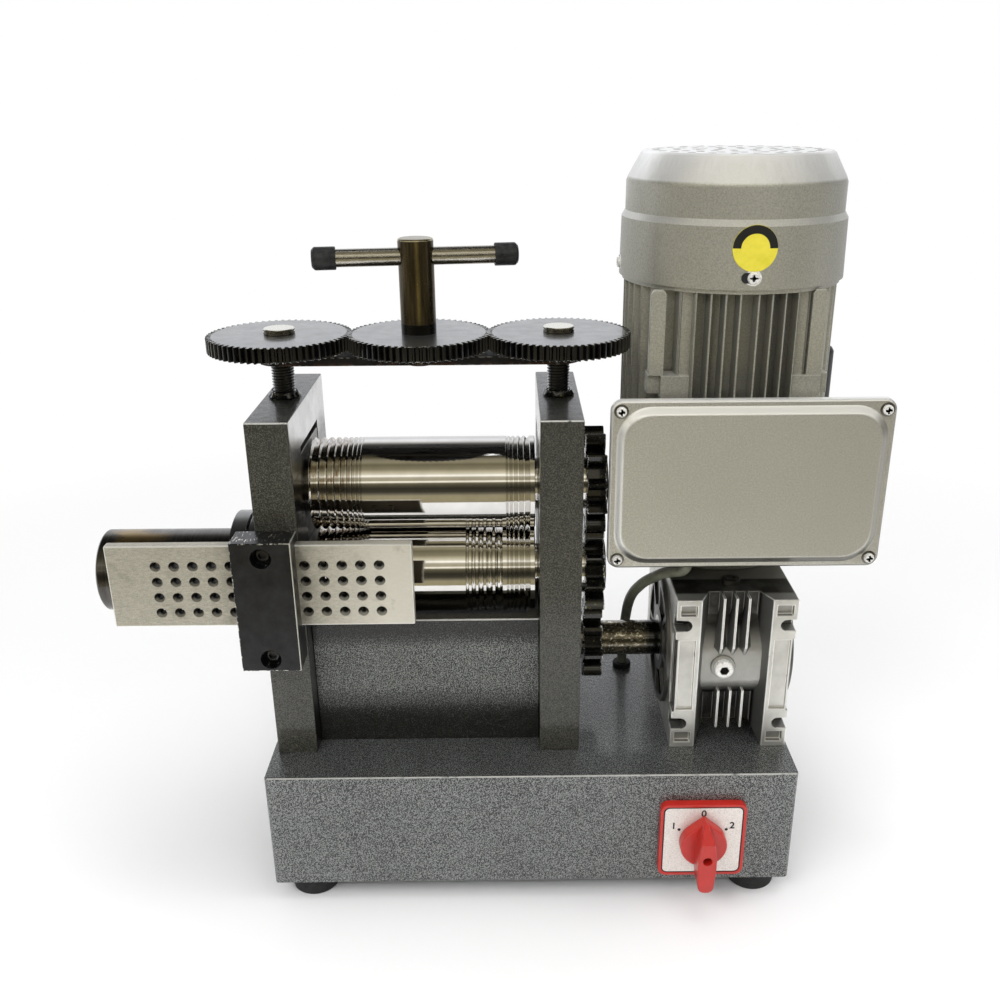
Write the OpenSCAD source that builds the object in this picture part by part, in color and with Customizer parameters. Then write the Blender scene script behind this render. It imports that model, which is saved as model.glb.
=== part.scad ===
// Motor-driven jewellery rolling mill on a box base. Millimetres, +Z up.
// The origin is on the floor, in the middle of the mill's outer box.
// Inside place() lengths are counted from the base's top front left corner.

/* [Base] */
// Width of the base
base_w = 380; // [372:1:420]
// Depth of the base
base_d = 240; // [225:1:280]
// Height of the base without its feet
base_h = 92; // [88:1:130]
// Wall of the base
base_wall = 6; // [3:0.5:8]
// Thickness of the bottom cover
cover_t = 3; // [2:0.5:5]
// Diameter of a rubber foot at its top
foot_d = 36; // [24:1:40]
// Height of a rubber foot
foot_h = 16; // [10:1:30]
// Distance of a foot's centre from the base's sides
foot_inset = 27; // [26:1:50]

/* [Roll stand] */
// Thickness of an upright
upright_t = 29; // [26:0.5:32]
// Depth of an upright
upright_d = 133; // [120:1:145]
// Height of an upright
upright_h = 251.5; // [240:0.5:290]
// Gap between the two uprights
stand_gap = 163; // [161:0.5:170]
// Height of the cross member
cross_h = 100; // [92:1:104]
// Depth of the cross member
cross_d = 100; // [96:1:120]
// Wall of the cross member
cross_wall = 8; // [5:0.5:10]
// Width of a bearing block across the window
block_w = 66; // [60:1:76]
// Height of a bearing block
block_h = 66; // [60:0.5:66.5]
// Lift of the upper roll
lift = 4; // [3:0.5:7]

/* [Rolls] */
// Diameter of a roll
roll_d = 66.6; // [64:0.1:66.9]
// Gap between the rolls when closed
nip = 0.5; // [0.2:0.1:1.5]
// Diameter of a journal
journal_d = 40; // [34:0.5:46]
// Height of the lower roll's axis above the base
lower_axis_z = 119.3; // [118.8:0.1:120]
// Width of the widest wire groove
groove_w = 5.4; // [4.2:0.1:5.6]
// Width of the widest half-round groove
round_groove_w = 5.6; // [4.5:0.1:6]
// Diameter of the shaft extension
ext_d = 60.5; // [54:0.5:61]
// Diameter of the thread under the lock nuts
nut_thread_d = 62; // [61.5:0.5:70]
// Length of the shaft extension outside the stand
ext_len = 126.4; // [90:0.2:140]
// Diameter of a lock nut
nut_d = 88; // [76:1:90]
// Width of a lock nut
nut_w = 11.5; // [8:0.5:14]

/* [Gears] */
// Teeth of an adjusting gear
adjust_teeth = 64; // [48:2:80]
// Thickness of an adjusting gear
adjust_t = 10.5; // [8:0.5:12]
// Tip diameter of a roll gear
roll_gear_d = 80; // [77:0.5:80.5]
// Tip diameter of the pinion
pinion_d = 61; // [58:0.5:61]
// Width of the driving gears
drive_face = 14; // [10:0.5:14.5]

/* [Adjusting screws] */
// Diameter of an adjusting screw
screw_d = 16; // [12:0.5:18]
// Height of the gears' top faces above the uprights
gear_rise = 44.5; // [38:0.5:60]
// Thickness of the bridge
bridge_t = 6; // [4:0.5:8]
// Width of the bridge
bridge_w = 30; // [26:1:40]
// Diameter of a gear cap
cap_d = 21.4; // [18:0.1:26]
// Height of a gear cap
cap_h = 5; // [3:0.5:8]

/* [Handle] */
// Diameter of the handle's column
column_d = 24; // [20:0.5:28]
// Height of the column above the gear
column_h = 63; // [45:1:80]
// Diameter of the cross bar
bar_d = 11.8; // [8:0.1:14]
// Length of the cross bar with its caps
bar_len = 138; // [100:1:150]
// Diameter of a bar cap
bar_cap_d = 15.2; // [15:0.1:18]
// Length of a bar cap
bar_cap_len = 16; // [12:0.5:20]
// Turn of the cross bar at rest
bar_turn = 7.5; // [0:0.5:15]

/* [Drawplate] */
// Length of the drawplate
plate_len = 206; // [190:1:216]
// Height of the drawplate
plate_h = 60; // [54:1:64]
// Thickness of the drawplate
plate_t = 8; // [6:0.5:10]
// Columns of holes
hole_cols = 13; // [10:1:13]
// Rows of holes
hole_rows = 4; // [3:1:4]
// Distance between columns
hole_pitch_x = 12.55; // [11:0.05:12.6]
// Distance between rows
hole_pitch_z = 11.5; // [10:0.5:12]
// Diameter of the largest drawing hole
hole_d_max = 4.2; // [3.6:0.1:4.6]
// Diameter of a hole's countersink
hole_sink_d = 7.2; // [6:0.1:8]
// Width of the holder
holder_w = 40.5; // [36:0.5:44]
// Height of the holder
holder_h = 93; // [88:1:98]
// Distance of the holder's screws from its ends
holder_screw_inset = 9; // [7:0.5:12]
// Diameter of a holder screw's counterbore
holder_bore_d = 9.5; // [8:0.5:12]
// Thickness of the holder in front of the plate
holder_t = 11.4; // [8:0.2:16]

/* [Gearbox] */
// Width of the gearbox across its output shaft
gearbox_w = 85.4; // [84:0.1:88]
// Depth of the gearbox
gearbox_d = 144; // [140:1:150]
// Height of the gearbox
gearbox_h = 120; // [119.5:0.1:120.5]
// Distance from the foot face to the output shaft
output_y = 60.2; // [59.8:0.1:60.4]
// Distance from the output shaft to the motor axis
worm_centre = 50; // [48:0.5:52]
// Diameter of the drive shaft
drive_d = 26.4; // [26:0.1:28]
// Bore of the hollow output shaft
hollow_bore_d = 25; // [22:0.5:25.5]
// Width of a fixing slot
slot_w = 8.5; // [7:0.5:10]
// Distance of the fixing slots from the output shaft's height
slot_off = 40; // [38:0.5:41]
// Diameter of a side cover
side_cover_d = 98; // [90:1:104]
// Diameter of a level plug
plug_d = 13.5; // [12:0.5:16]

/* [Motor] */
// Diameter over the cooling fins
fin_d = 150; // [146:1:150.5]
// Height of the finned motor body
motor_h = 190; // [180:1:200]
// Pitch of the cooling fins
fin_pitch = 9.4; // [9:0.1:9.6]
// Thickness of a cooling fin
fin_t = 2.6; // [1.5:0.1:3.5]
// Diameter of the motor flange
flange_d = 120; // [110:1:126]
// Diameter of the fan cowl
cowl_d = 157.6; // [156:0.2:160]
// Height of the fan cowl
cowl_h = 83; // [76:1:92]
// Sheet thickness of the fan cowl
cowl_t = 2; // [1.5:0.1:2.2]
// Diameter of the capacitor housing
capacitor_d = 45; // [38:1:50]
// Height of the capacitor housing
capacitor_h = 110; // [90:1:120]

/* [Electric box] */
// Width of the box cover
box_w = 188.6; // [176:0.2:200]
// Height of the box cover
box_h = 120; // [108:1:126]
// Thickness of the box cover
box_cover_t = 10; // [8:0.5:12]
// Width of the box's pad on the motor
box_pad_w = 90; // [70:1:100]
// Height of the box's pad on the motor
box_pad_h = 80; // [60:1:90]
// Depth of the box body behind its cover
box_body_t = 18; // [14:0.5:19]
// Inset of the box body inside its cover
box_inset = 7; // [5:0.5:10]
// Corner radius of the cover
box_corner = 8; // [4:0.5:12]
// Diameter of the cable
cable_d = 8; // [6:0.5:9]

/* [Switch] */
// Width and height of the switch frame
switch_w = 62; // [56:1:64]
// Thickness of the switch frame
switch_t = 6.4; // [5:0.2:8]
// Diameter of the knob's disc
knob_d = 33; // [28:0.5:36]
// Reach of the knob in front of the base
knob_reach = 30; // [26:1:36]
// Width of the knob's grip
grip_w = 11.8; // [9:0.2:14]

/* [Hidden] */
$fn = 96;

// Colours
hammertone = [0.33, 0.35, 0.34];
black_steel = [0.1, 0.1, 0.11];
bright_steel = [0.75, 0.74, 0.72];
cast_metal = [0.7, 0.69, 0.66];
motor_paint = [0.62, 0.6, 0.55];
switch_red = [0.8, 0.12, 0.1];

// Clearances
slip = 0.05;
seat = 0.3;
run_gap = 5;
cut = 1;

// Stand
left_x = 4.4;
collar_t = 3;
collar_w = 2.5;
right_x = left_x + upright_t + stand_gap;
inner_left = left_x + upright_t;
outer_right = right_x + upright_t;
stand_y = 32.4;
roll_y = stand_y + upright_d / 2;
upper_axis_z = lower_axis_z + roll_d + nip;
window_w = block_w + 2 * seat;
window_z0 = lower_axis_z - block_h / 2;
window_gap = 1.5;
window_z1 = upper_axis_z + block_h / 2 + lift + window_gap;

// Rolls
roll_end_gap = 2.2;
roll_x0 = inner_left + roll_end_gap;
roll_x1 = right_x - roll_end_gap;
ext_x1 = left_x - 2;
ext_x0 = ext_x1 - ext_len;
ext_socket = 18;
nut_gap = 1.5;
nut_x1 = left_x - run_gap;
nut_x0 = nut_x1 - 2 * nut_w - nut_gap;
nut_slot = 8;
thread_x0 = nut_x0 - 0.5;
ext_chamfer = 1.5;
groove_step = 0.5;
left_grooves = 9;
left_land = 0.75;
left_start = 0.9;
right_grooves = 5;
right_land = 0.8;
right_w = groove_w - 1.6;
right_start = 3.5;
round_grooves = 5;
round_step = 0.8;
round_land = 1.7;
round_start = right_start + row_c(right_w, groove_step, right_land, right_grooves - 1) + 3.8;

// Driving gears; the teeth give a speed ratio of 4 to 3
roll_teeth = 12;
pinion_teeth = 9;
tooth_backlash = 0.8;
tooth_neck = 0.86;
root_gap = 1;
gear_x0 = outer_right + run_gap;
gear_x1 = gear_x0 + drive_face;
journal_x1 = gear_x1 + 2;
roll_module = (roll_d + nip) / roll_teeth;
output_z = gearbox_h / 2;
gearbox_y0 = 34.8;
output_axis_y = gearbox_y0 + output_y;
mesh_turn = atan2(output_axis_y - roll_y, lower_axis_z - output_z);

// Gearbox and motor
gearbox_cover_t = 3.5;
hollow_wall = 5;
column_w = 17.8;
column_pad_w = 11.4;
corner_h = 30.5;
recess_y = 15;
slot_end = 7.3;
slot_depth = 13;
rib_t = 2;
rib_pitch = 8.8;
rib_y = 2.5;
panel_y = 10.5;
panel_drop = 14;
panel_rise = 20;
boss_off_x = -6;
boss_off_z = 3.6;
boss_y = 9.5;
boss_wall = 2;
plug_y = 0.2;
plug_seat = 3;
arch_depth = 40;
arch_h = 15;
top_plug_y = 30;
top_plug_t = 4;
shaft_gap = 48;
gearbox_x0 = gear_x1 + shaft_gap;
gearbox_x1 = gearbox_x0 + gearbox_w;
gearbox_x = (gearbox_x0 + gearbox_x1) / 2;
motor_y = output_axis_y + worm_centre;
flange_t = 12;
motor_z0 = gearbox_h + flange_t;
motor_z1 = motor_z0 + motor_h;
fin_r = fin_d / 2;
cowl_r = cowl_d / 2;
cowl_z0 = motor_z1 + 6;
cowl_z1 = cowl_z0 + cowl_h;
bell_r = cowl_r - cowl_t - seat;
core_r = fin_r - 13;
capacitor_turn = 33;
capacitor_pad = 2;
capacitor_dist = fin_r + capacitor_pad + capacitor_d / 2;
capacitor_x = gearbox_x + capacitor_dist * cos(capacitor_turn);
capacitor_y = motor_y + capacitor_dist * sin(capacitor_turn);
capacitor_z0 = 153;
capacitor_foot_w = 30;
capacitor_foot_inset = 20;
end_bell_h = 16;
lug_w = 20;
lug_h = 16;
lug_x = 45;
lug_y = 56;
lug_drop = 70;
corner_out = 60;
corner_in = 36;
corner_t = 15;

// Electric box
box_x = gearbox_x + 2.6;
box_z = 201;
box_back_y = motor_y - fin_r - 2;
box_body_y = box_back_y - box_body_t;
box_front_y = box_body_y - box_cover_t;
box_panel_t = 1.5;
box_panel_inset = 9.5;
box_panel_cut = 12;
box_screw_inset = 9;
box_screw_d = 11;

// Adjusting screws and gears
gear_top_z = upright_h + gear_rise;
adjust_y = roll_y;
left_axis_x = left_x + upright_t / 2;
right_axis_x = right_x + upright_t / 2;
mid_axis_x = (left_axis_x + right_axis_x) / 2;
adjust_module = (mid_axis_x - left_axis_x) / adjust_teeth;
gear_z0 = gear_top_z - adjust_t;
hub_h = 3;
hub_d = 30;
bridge_z1 = gear_z0 - hub_h - seat;
bridge_z0 = bridge_z1 - bridge_t;
ring_h = 1.5;
ring_d = screw_d + 3.4;
screw_z0 = upper_axis_z + block_h / 2;
bar_z = gear_top_z + column_h - 12;
bar_seat = 3;

// Drawplate
plate_z0 = 109.2;
plate_x0 = -95.8;
plate_y0 = stand_y - plate_t;
holes_x0 = plate_x0 + 33;
holes_z0 = plate_z0 + plate_h - 15;
hole_step = 0.02;
hole_sink_t = 3;
holder_x0 = -8.1;
holder_z0 = 81.5;
holder_y0 = plate_y0 - holder_t;

// Switch
switch_x = 313;
switch_z = -52.4;
switch_rim = 2.5;
switch_recess = 2;
switch_face_y = -switch_t + 0.4;
knob_disc_t = 5;
knob_spindle_d = 10;

// Cable route from the box's gland to the base's grommet
gland_h = 8;
grommet_h = 5;
box_gland = [302, 59];
base_gland = [269, 156];
cable_start_z = box_z - box_h / 2 + box_inset - gland_h;
cable_route = [
    [302, 59, cable_start_z], [301.5, 60, 134.5], [299, 62, 130.5], [294, 67, 127.5], [288, 75, 123],
    [283, 84, 116], [278, 94, 108], [274, 105, 98], [271, 116, 87], [269.5, 127, 74], [269, 137, 59],
    [269, 145, 44], [269, 151, 29], [269, 155, 16], [269, 156, 9], [269, 156, grommet_h]
];

// Outer box of the mill
left_reach = ext_x0;
right_reach = max(capacitor_x + capacitor_d / 2, box_x + box_w / 2);
front_reach = -knob_reach;
back_reach = base_d;

module place() {
    translate([-(left_reach + right_reach) / 2, -(front_reach + back_reach) / 2, base_h + foot_h]) children();
}

// A cylinder along X from x0 to x1
module bar_x(x0, x1, y, z, d) {
    translate([x0, y, z]) rotate([0, 90, 0]) cylinder(h = x1 - x0, d = d);
}

// A plate in the XZ plane with round corners, its front face at y
module round_plate(x, y, z, w, h, t, r) {
    translate([x, y + t, z]) rotate([90, 0, 0]) linear_extrude(t) union() {
        square([w - 2 * r, h], center = true);
        square([w, h - 2 * r], center = true);
        for (sx = [-1, 1], sy = [-1, 1]) translate([sx * (w / 2 - r), sy * (h / 2 - r)]) circle(r);
    }
}

// Involute of an angle, in degrees
function inv(a) = tan(a) * 180 / PI - a;

// Half the angle of a tooth at radius r
function tooth_half(teeth, m, backlash, r) =
    let (pitch_r = teeth * m / 2, base_r = pitch_r * cos(20))
    90 / teeth - backlash / (2 * pitch_r) * 180 / PI + inv(20) - inv(acos(min(1, base_r / max(r, base_r))));

// Outline of a gear with involute flanks; neck narrows a tooth at its root
function gear_outline(teeth, m, tip_r, root_r, backlash, neck) =
    let (base_r = teeth * m / 2 * cos(20),
         flank_r0 = max(base_r, root_r + 0.3 * (tip_r - root_r)),
         radii = [for (i = [0:3]) flank_r0 + (tip_r - flank_r0) * i / 3],
         half = [for (r = radii) tooth_half(teeth, m, backlash, r)],
         left = concat([[root_r, half[0] * neck]], [for (i = [0:3]) [radii[i], half[i]]]))
    [for (a = [0:360 / teeth:360 - 180 / teeth]) each concat(
        [for (p = left) p[0] * [cos(a - p[1]), sin(a - p[1])]],
        [for (i = [4:-1:0]) left[i][0] * [cos(a + left[i][1]), sin(a + left[i][1])]])];

// A driving gear on an axis along X, with a round bore
module drive_gear(y, z, teeth, tip_r, root_r, bore, phase) {
    translate([gear_x0, y, z]) rotate([0, 90, 0]) rotate(phase) linear_extrude(drive_face) difference() {
        polygon(gear_outline(teeth, roll_module, tip_r, root_r, tooth_backlash, tooth_neck));
        circle(d = bore);
    }
}

// An adjusting gear with its hub, on an axis along Z
module adjusting_gear(x, bore, phase) {
    pitch_r = adjust_teeth * adjust_module / 2;
    translate([x, adjust_y, gear_z0]) difference() {
        union() {
            rotate(phase) linear_extrude(adjust_t) polygon(gear_outline(adjust_teeth, adjust_module,
                pitch_r + adjust_module, pitch_r - 1.25 * adjust_module, 0.2, 1));
            translate([0, 0, -hub_h]) cylinder(h = hub_h + cut, d = hub_d);
        }
        translate([0, 0, -hub_h - cut]) cylinder(h = adjust_t + hub_h + 2 * cut, d = bore);
    }
}

module base_housing() {
    color(hammertone) place() difference() {
        translate([0, 0, -base_h]) cube([base_w, base_d, base_h]);
        translate([base_wall, base_wall, -base_h - cut])
            cube([base_w - 2 * base_wall, base_d - 2 * base_wall, base_h - base_wall + cut]);
        translate([switch_x, -cut, switch_z]) rotate([-90, 0, 0])
            cylinder(h = base_wall + 2 * cut, d = switch_w - 20);
    }
}

module base_bottom_cover() {
    color(hammertone) place() translate([base_wall + seat, base_wall + seat, -base_h])
        cube([base_w - 2 * (base_wall + seat), base_d - 2 * (base_wall + seat), cover_t]);
}

module rubber_feet() {
    r = foot_d / 2;
    color([0.06, 0.06, 0.06]) place()
        for (x = [foot_inset, base_w - foot_inset], y = [foot_inset, base_d - foot_inset])
            translate([x, y, -base_h - foot_h]) rotate_extrude()
                polygon([[0, 0], [r * 0.7, 0], [r * 0.8, foot_h * 0.1], [r, foot_h * 0.8], [r, foot_h],
                    [0, foot_h]]);
}

module upright(x) {
    color(hammertone) place() difference() {
        translate([x, stand_y, 0]) cube([upright_t, upright_d, upright_h]);
        translate([x - cut, roll_y - window_w / 2, window_z0])
            cube([upright_t + 2 * cut, window_w, window_z1 - window_z0]);
        translate([x + upright_t / 2, roll_y, window_z1 - cut])
            cylinder(h = upright_h - window_z1 + 2 * cut, d = screw_d + 2 * slip);
    }
}

module left_upright() {
    upright(left_x);
}

module right_upright() {
    upright(right_x);
}

module cross_member() {
    y0 = roll_y - cross_d / 2;
    trough_z = lower_axis_z - roll_d / 2 - run_gap - 3;
    color(hammertone) place() difference() {
        translate([inner_left, y0, 0]) cube([stand_gap, cross_d, cross_h]);
        translate([inner_left + cross_wall, y0 + cross_wall, trough_z])
            cube([stand_gap - 2 * cross_wall, cross_d - 2 * cross_wall, cross_h]);
        bar_x(inner_left - cut, right_x + cut, roll_y, lower_axis_z, roll_d + 2 * run_gap);
    }
}

module bearing_blocks(z) {
    color([0.45, 0.45, 0.44]) place() for (x = [left_x, right_x]) difference() {
        translate([x + seat, roll_y - block_w / 2, z - block_h / 2])
            cube([upright_t - 2 * seat, block_w, block_h]);
        bar_x(x - cut, x + upright_t + cut, roll_y, z, journal_d + 2 * slip);
    }
}

module lower_bearing_blocks() {
    bearing_blocks(lower_axis_z);
}

module upper_bearing_blocks() {
    bearing_blocks(upper_axis_z);
}

module screw_collars() {
    color(black_steel) place() for (x = [left_axis_x, right_axis_x])
        translate([x, adjust_y, upright_h]) difference() {
            cylinder(h = collar_t, d = screw_d + 2 * collar_w);
            translate([0, 0, -cut]) cylinder(h = collar_t + 2 * cut, d = screw_d + 2 * seat);
        }
}

// Widths and centres of a row of grooves that get narrower by step
function row_w(w, step, i) = w - step * i;
function row_c(w, step, land, i) = i <= 0 ? w / 2
    : row_c(w, step, land, i - 1) + (row_w(w, step, i - 1) + row_w(w, step, i)) / 2 + land;

// Profile points of a V groove and of a round groove at place c
function vee(r, c, w) = [[r, c - w / 2], [r - w / 2, c], [r, c + w / 2]];
function scoop(r, c, w) = [for (i = [0:6]) [r - w / 2 * sin(30 * i), c - w / 2 * cos(30 * i)]];

// Grooves at the left end, counted from the roll's left face
function left_row(r) = [for (i = [0:left_grooves - 1])
    each vee(r, left_start + row_c(groove_w, groove_step, left_land, i), row_w(groove_w, groove_step, i))];

// Grooves at the right end, counted from the right face of a roll of length len
function right_row(r, len) = [for (i = [right_grooves - 1:-1:0])
    each vee(r, len - right_start - row_c(right_w, groove_step, right_land, i),
        row_w(right_w, groove_step, i))];
function round_row(r, len) = [for (i = [round_grooves - 1:-1:0])
    each scoop(r, len - round_start - row_c(round_groove_w, round_step, round_land, i),
        row_w(round_groove_w, round_step, i))];

// A roll with its journals; rows holds the groove points along its face
module turned_roll(z, rows, x0, x1) {
    r = roll_d / 2;
    jr = journal_d / 2;
    len = roll_x1 - roll_x0;
    color(bright_steel) place() translate([roll_x0, roll_y, z]) rotate([0, 90, 0]) rotate_extrude()
        polygon(concat([[0, x0 - roll_x0], [jr, x0 - roll_x0], [jr, 0], [r, 0]], rows,
            [[r, len], [jr, len], [jr, x1 - roll_x0], [0, x1 - roll_x0]]));
}

module lower_roll() {
    r = roll_d / 2;
    len = roll_x1 - roll_x0;
    turned_roll(lower_axis_z, concat(left_row(r), round_row(r, len), right_row(r, len)),
        ext_x1 - ext_socket, journal_x1);
}

module upper_roll() {
    r = roll_d / 2;
    len = roll_x1 - roll_x0;
    turned_roll(upper_axis_z, concat(left_row(r), right_row(r, len)), ext_x1, journal_x1);
}

module shaft_extension() {
    r = ext_d / 2;
    thread_r = nut_thread_d / 2;
    thread_z = thread_x0 - ext_x0;
    color([0.25, 0.22, 0.2]) place() difference() {
        translate([ext_x0, roll_y, lower_axis_z]) rotate([0, 90, 0]) rotate_extrude()
            polygon([[0, 0], [r - ext_chamfer, 0], [r, ext_chamfer], [r, thread_z], [thread_r, thread_z],
                [thread_r, ext_len], [0, ext_len]]);
        bar_x(ext_x1 - ext_socket, ext_x1 + cut, roll_y, lower_axis_z, journal_d + 2 * slip);
    }
}

module lock_nuts() {
    color(black_steel) place() for (i = [0, 1]) {
        x1 = nut_x1 - i * (nut_w + nut_gap);
        difference() {
            bar_x(x1 - nut_w, x1, roll_y, lower_axis_z, nut_d);
            bar_x(x1 - nut_w - cut, x1 + cut, roll_y, lower_axis_z, nut_thread_d + 2 * slip);
            for (a = [45:90:315]) translate([x1 - nut_w / 2, roll_y, lower_axis_z]) rotate([a, 0, 0])
                translate([-nut_w / 2 - cut, -nut_slot / 2, nut_d / 2 - nut_slot / 2])
                    cube([nut_w + 2 * cut, nut_slot, nut_slot]);
        }
    }
}

module lower_roll_gear() {
    color(black_steel) place() drive_gear(roll_y, lower_axis_z, roll_teeth, roll_gear_d / 2,
        roll_d + nip - roll_gear_d / 2 - root_gap, journal_d + 2 * slip, 0);
}

module upper_roll_gear() {
    color(black_steel) place() drive_gear(roll_y, upper_axis_z, roll_teeth, roll_gear_d / 2,
        roll_d + nip - roll_gear_d / 2 - root_gap, journal_d + 2 * slip, 180 / roll_teeth);
}

module drive_pinion() {
    dist = norm([output_axis_y - roll_y, output_z - lower_axis_z]);
    phase = mesh_turn * (1 + roll_teeth / pinion_teeth) + 180 + 180 / pinion_teeth;
    color(black_steel) place() drive_gear(output_axis_y, output_z, pinion_teeth, pinion_d / 2,
        dist - roll_gear_d / 2 - root_gap, drive_d + 2 * slip, phase);
}

module drive_shaft() {
    hollow_x0 = gearbox_x0 - gearbox_cover_t;
    color([0.3, 0.25, 0.18]) place() union() {
        bar_x(gear_x0 - 1, hollow_x0 - seat, output_axis_y, output_z, drive_d);
        bar_x(gear_x0, gearbox_x1 + gearbox_cover_t, output_axis_y, output_z, hollow_bore_d);
    }
}

module hollow_shaft() {
    x0 = gearbox_x0 - gearbox_cover_t;
    x1 = gearbox_x1 + gearbox_cover_t;
    color(bright_steel) place() difference() {
        bar_x(x0, x1, output_axis_y, output_z, hollow_bore_d + 2 * hollow_wall);
        bar_x(x0 - cut, x1 + cut, output_axis_y, output_z, hollow_bore_d + 2 * slip);
    }
}

module gearbox_housing() {
    y0 = gearbox_y0;
    mid = gearbox_h / 2;
    inner_w = gearbox_w - 2 * column_w;
    color(cast_metal) place() union() {
        difference() {
            translate([gearbox_x0, y0, 0]) cube([gearbox_w, gearbox_d, gearbox_h]);
            // recessed front with sloping walls, open at the top and over the arch
            translate([gearbox_x, y0, 0]) linear_extrude(gearbox_h + cut)
                polygon([[-inner_w / 2, -cut], [inner_w / 2, -cut], [inner_w / 2, 0],
                    [inner_w / 2 - 7, recess_y], [-inner_w / 2 + 7, recess_y], [-inner_w / 2, 0]]);
            translate([gearbox_x, y0 + arch_depth, 0]) rotate([90, 0, 0]) linear_extrude(arch_depth + cut)
                polygon([[-inner_w / 2, -cut], [inner_w / 2, -cut], [inner_w / 2, 0],
                    [inner_w / 2 - 8, arch_h], [-inner_w / 2 + 8, arch_h], [-inner_w / 2, 0]]);
            for (s = [-1, 1]) {
                side_x = gearbox_x + s * gearbox_w / 2;
                column_x = side_x - s * column_w / 2;
                for (t = [-1, 1]) {
                    // fixing slot that opens sideways
                    translate([side_x - s * slot_end, y0 - cut, mid + t * slot_off]) rotate([-90, 0, 0])
                        cylinder(h = slot_depth + cut, d = slot_w);
                    translate([min(side_x - s * slot_end, side_x + s * cut), y0 - cut,
                        mid + t * slot_off - slot_w / 2])
                        cube([slot_end + cut, slot_depth + cut, slot_w]);
                    // pocket between the slot and the corner
                    translate([column_x - column_pad_w / 2, y0 - cut, mid + t * (slot_off + 11.5) - 4])
                        cube([column_pad_w, 4 + cut, 8]);
                }
                // side of the column, set back behind the corner blocks
                translate([side_x - 2, y0 - cut, corner_h])
                    cube([4, slot_depth + cut, gearbox_h - 2 * corner_h]);
                // long pad between the corner blocks
                translate([column_x - column_pad_w / 2, y0 - cut, corner_h + 1.5])
                    cube([column_pad_w, 2.4 + cut, gearbox_h - 2 * corner_h - 3]);
            }
            // bore of the hollow shaft
            bar_x(gearbox_x0 - cut, gearbox_x1 + cut, output_axis_y, output_z,
                hollow_bore_d + 2 * (hollow_wall + slip));
        }
        // ribs above and below the middle panel
        for (i = [-1:1]) {
            x = gearbox_x + i * rib_pitch - rib_t / 2;
            translate([x, y0 + rib_y, mid + panel_rise])
                cube([rib_t, recess_y - rib_y + cut, mid - panel_rise]);
            translate([x, y0 + rib_y, arch_h]) cube([rib_t, recess_y - rib_y + cut, mid - arch_h - panel_drop]);
        }
        // middle panel and the boss of the level plug
        difference() {
            union() {
                translate([gearbox_x - inner_w / 2 + 1, y0 + panel_y, mid - panel_drop])
                    cube([inner_w - 2, recess_y - panel_y + cut, panel_drop + panel_rise]);
                translate([gearbox_x + boss_off_x, y0 + boss_y, mid + boss_off_z]) rotate([-90, 0, 0])
                    cylinder(h = recess_y - boss_y + cut, d = plug_d + 2 * (seat + boss_wall));
            }
            translate([gearbox_x + boss_off_x, y0 + boss_y - cut, mid + boss_off_z]) rotate([-90, 0, 0])
                cylinder(h = plug_seat + cut, d = plug_d + 2 * seat);
        }
    }
}

module gearbox_side_covers() {
    bore_r = hollow_bore_d / 2 + hollow_wall + slip;
    hub_r = bore_r + 7.5;
    r = side_cover_d / 2;
    rim = 5;
    web_t = 1.5;
    t = gearbox_cover_t;
    color(cast_metal) place() for (s = [0, 1])
        translate([s == 0 ? gearbox_x0 : gearbox_x1, output_axis_y, output_z])
        mirror([1 - s, 0, 0]) rotate([0, 90, 0]) {
            rotate_extrude() polygon([[bore_r, 0], [r, 0], [r, t - 0.8], [r - 0.8, t], [r - rim, t],
                [r - rim, web_t], [hub_r, web_t], [hub_r, t], [bore_r, t]]);
            for (a = [0:45:315]) rotate(a) translate([hub_r - 1, -2, web_t / 2])
                cube([r - rim - hub_r + 2, 4, t - web_t / 2]);
        }
}

module gearbox_plugs() {
    y0 = gearbox_y0;
    color(bright_steel) place() union() {
        translate([gearbox_x + boss_off_x, y0 + plug_y, gearbox_h / 2 + boss_off_z]) rotate([-90, 0, 0])
            cylinder(h = boss_y + plug_seat - plug_y, d = plug_d);
        translate([gearbox_x, y0 + top_plug_y, gearbox_h]) cylinder(h = top_plug_t, d = plug_d);
    }
}

module motor_flange() {
    color(motor_paint) place() translate([gearbox_x, motor_y, gearbox_h]) union() {
        cylinder(h = flange_t, d = flange_d);
        for (a = [45:90:315]) rotate(a) translate([flange_d / 2 - 10, 0, 0]) cylinder(h = flange_t, d = 26);
    }
}

module motor_body() {
    h = motor_h;
    color(motor_paint) place() translate([gearbox_x, motor_y, motor_z0]) union() {
        cylinder(h = 6, r = fin_r - 8);
        intersection() {
            translate([0, 0, 4]) cylinder(h = h, r = fin_r);
            for (a = [0, 90]) rotate(a) for (i = [0:4], s = [-1, 1])
                translate([s * (6 + i * fin_pitch) - fin_t / 2, -fin_r, 0]) cube([fin_t, fin_d, h + 4]);
        }
        // corner columns
        for (a = [0:90:270]) rotate(a) {
            translate([corner_in, corner_in - 6, 2]) cube([corner_out - corner_in, corner_t, h + 2]);
            translate([corner_in - 6, corner_in, 2]) cube([corner_t, corner_out - corner_in, h + 2]);
        }
        // lugs over the fins at the height of the box
        for (sx = [-1, 1], sy = [-1, 1])
            translate([sx * lug_x - lug_w / 2, sy * lug_y - lug_h / 2, h - lug_drop]) cube([lug_w, lug_h, lug_h]);
        // pad for the electric box
        translate([box_x - gearbox_x - box_pad_w / 2, box_back_y - motor_y, box_z - motor_z0 - box_pad_h / 2])
            cube([box_pad_w, 20, box_pad_h]);
        // end bell under the cowl
        translate([0, 0, h + 3]) cylinder(h = end_bell_h - 3, r = bell_r);
        cylinder(h = h + 4, r = core_r);
    }
}

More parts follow.
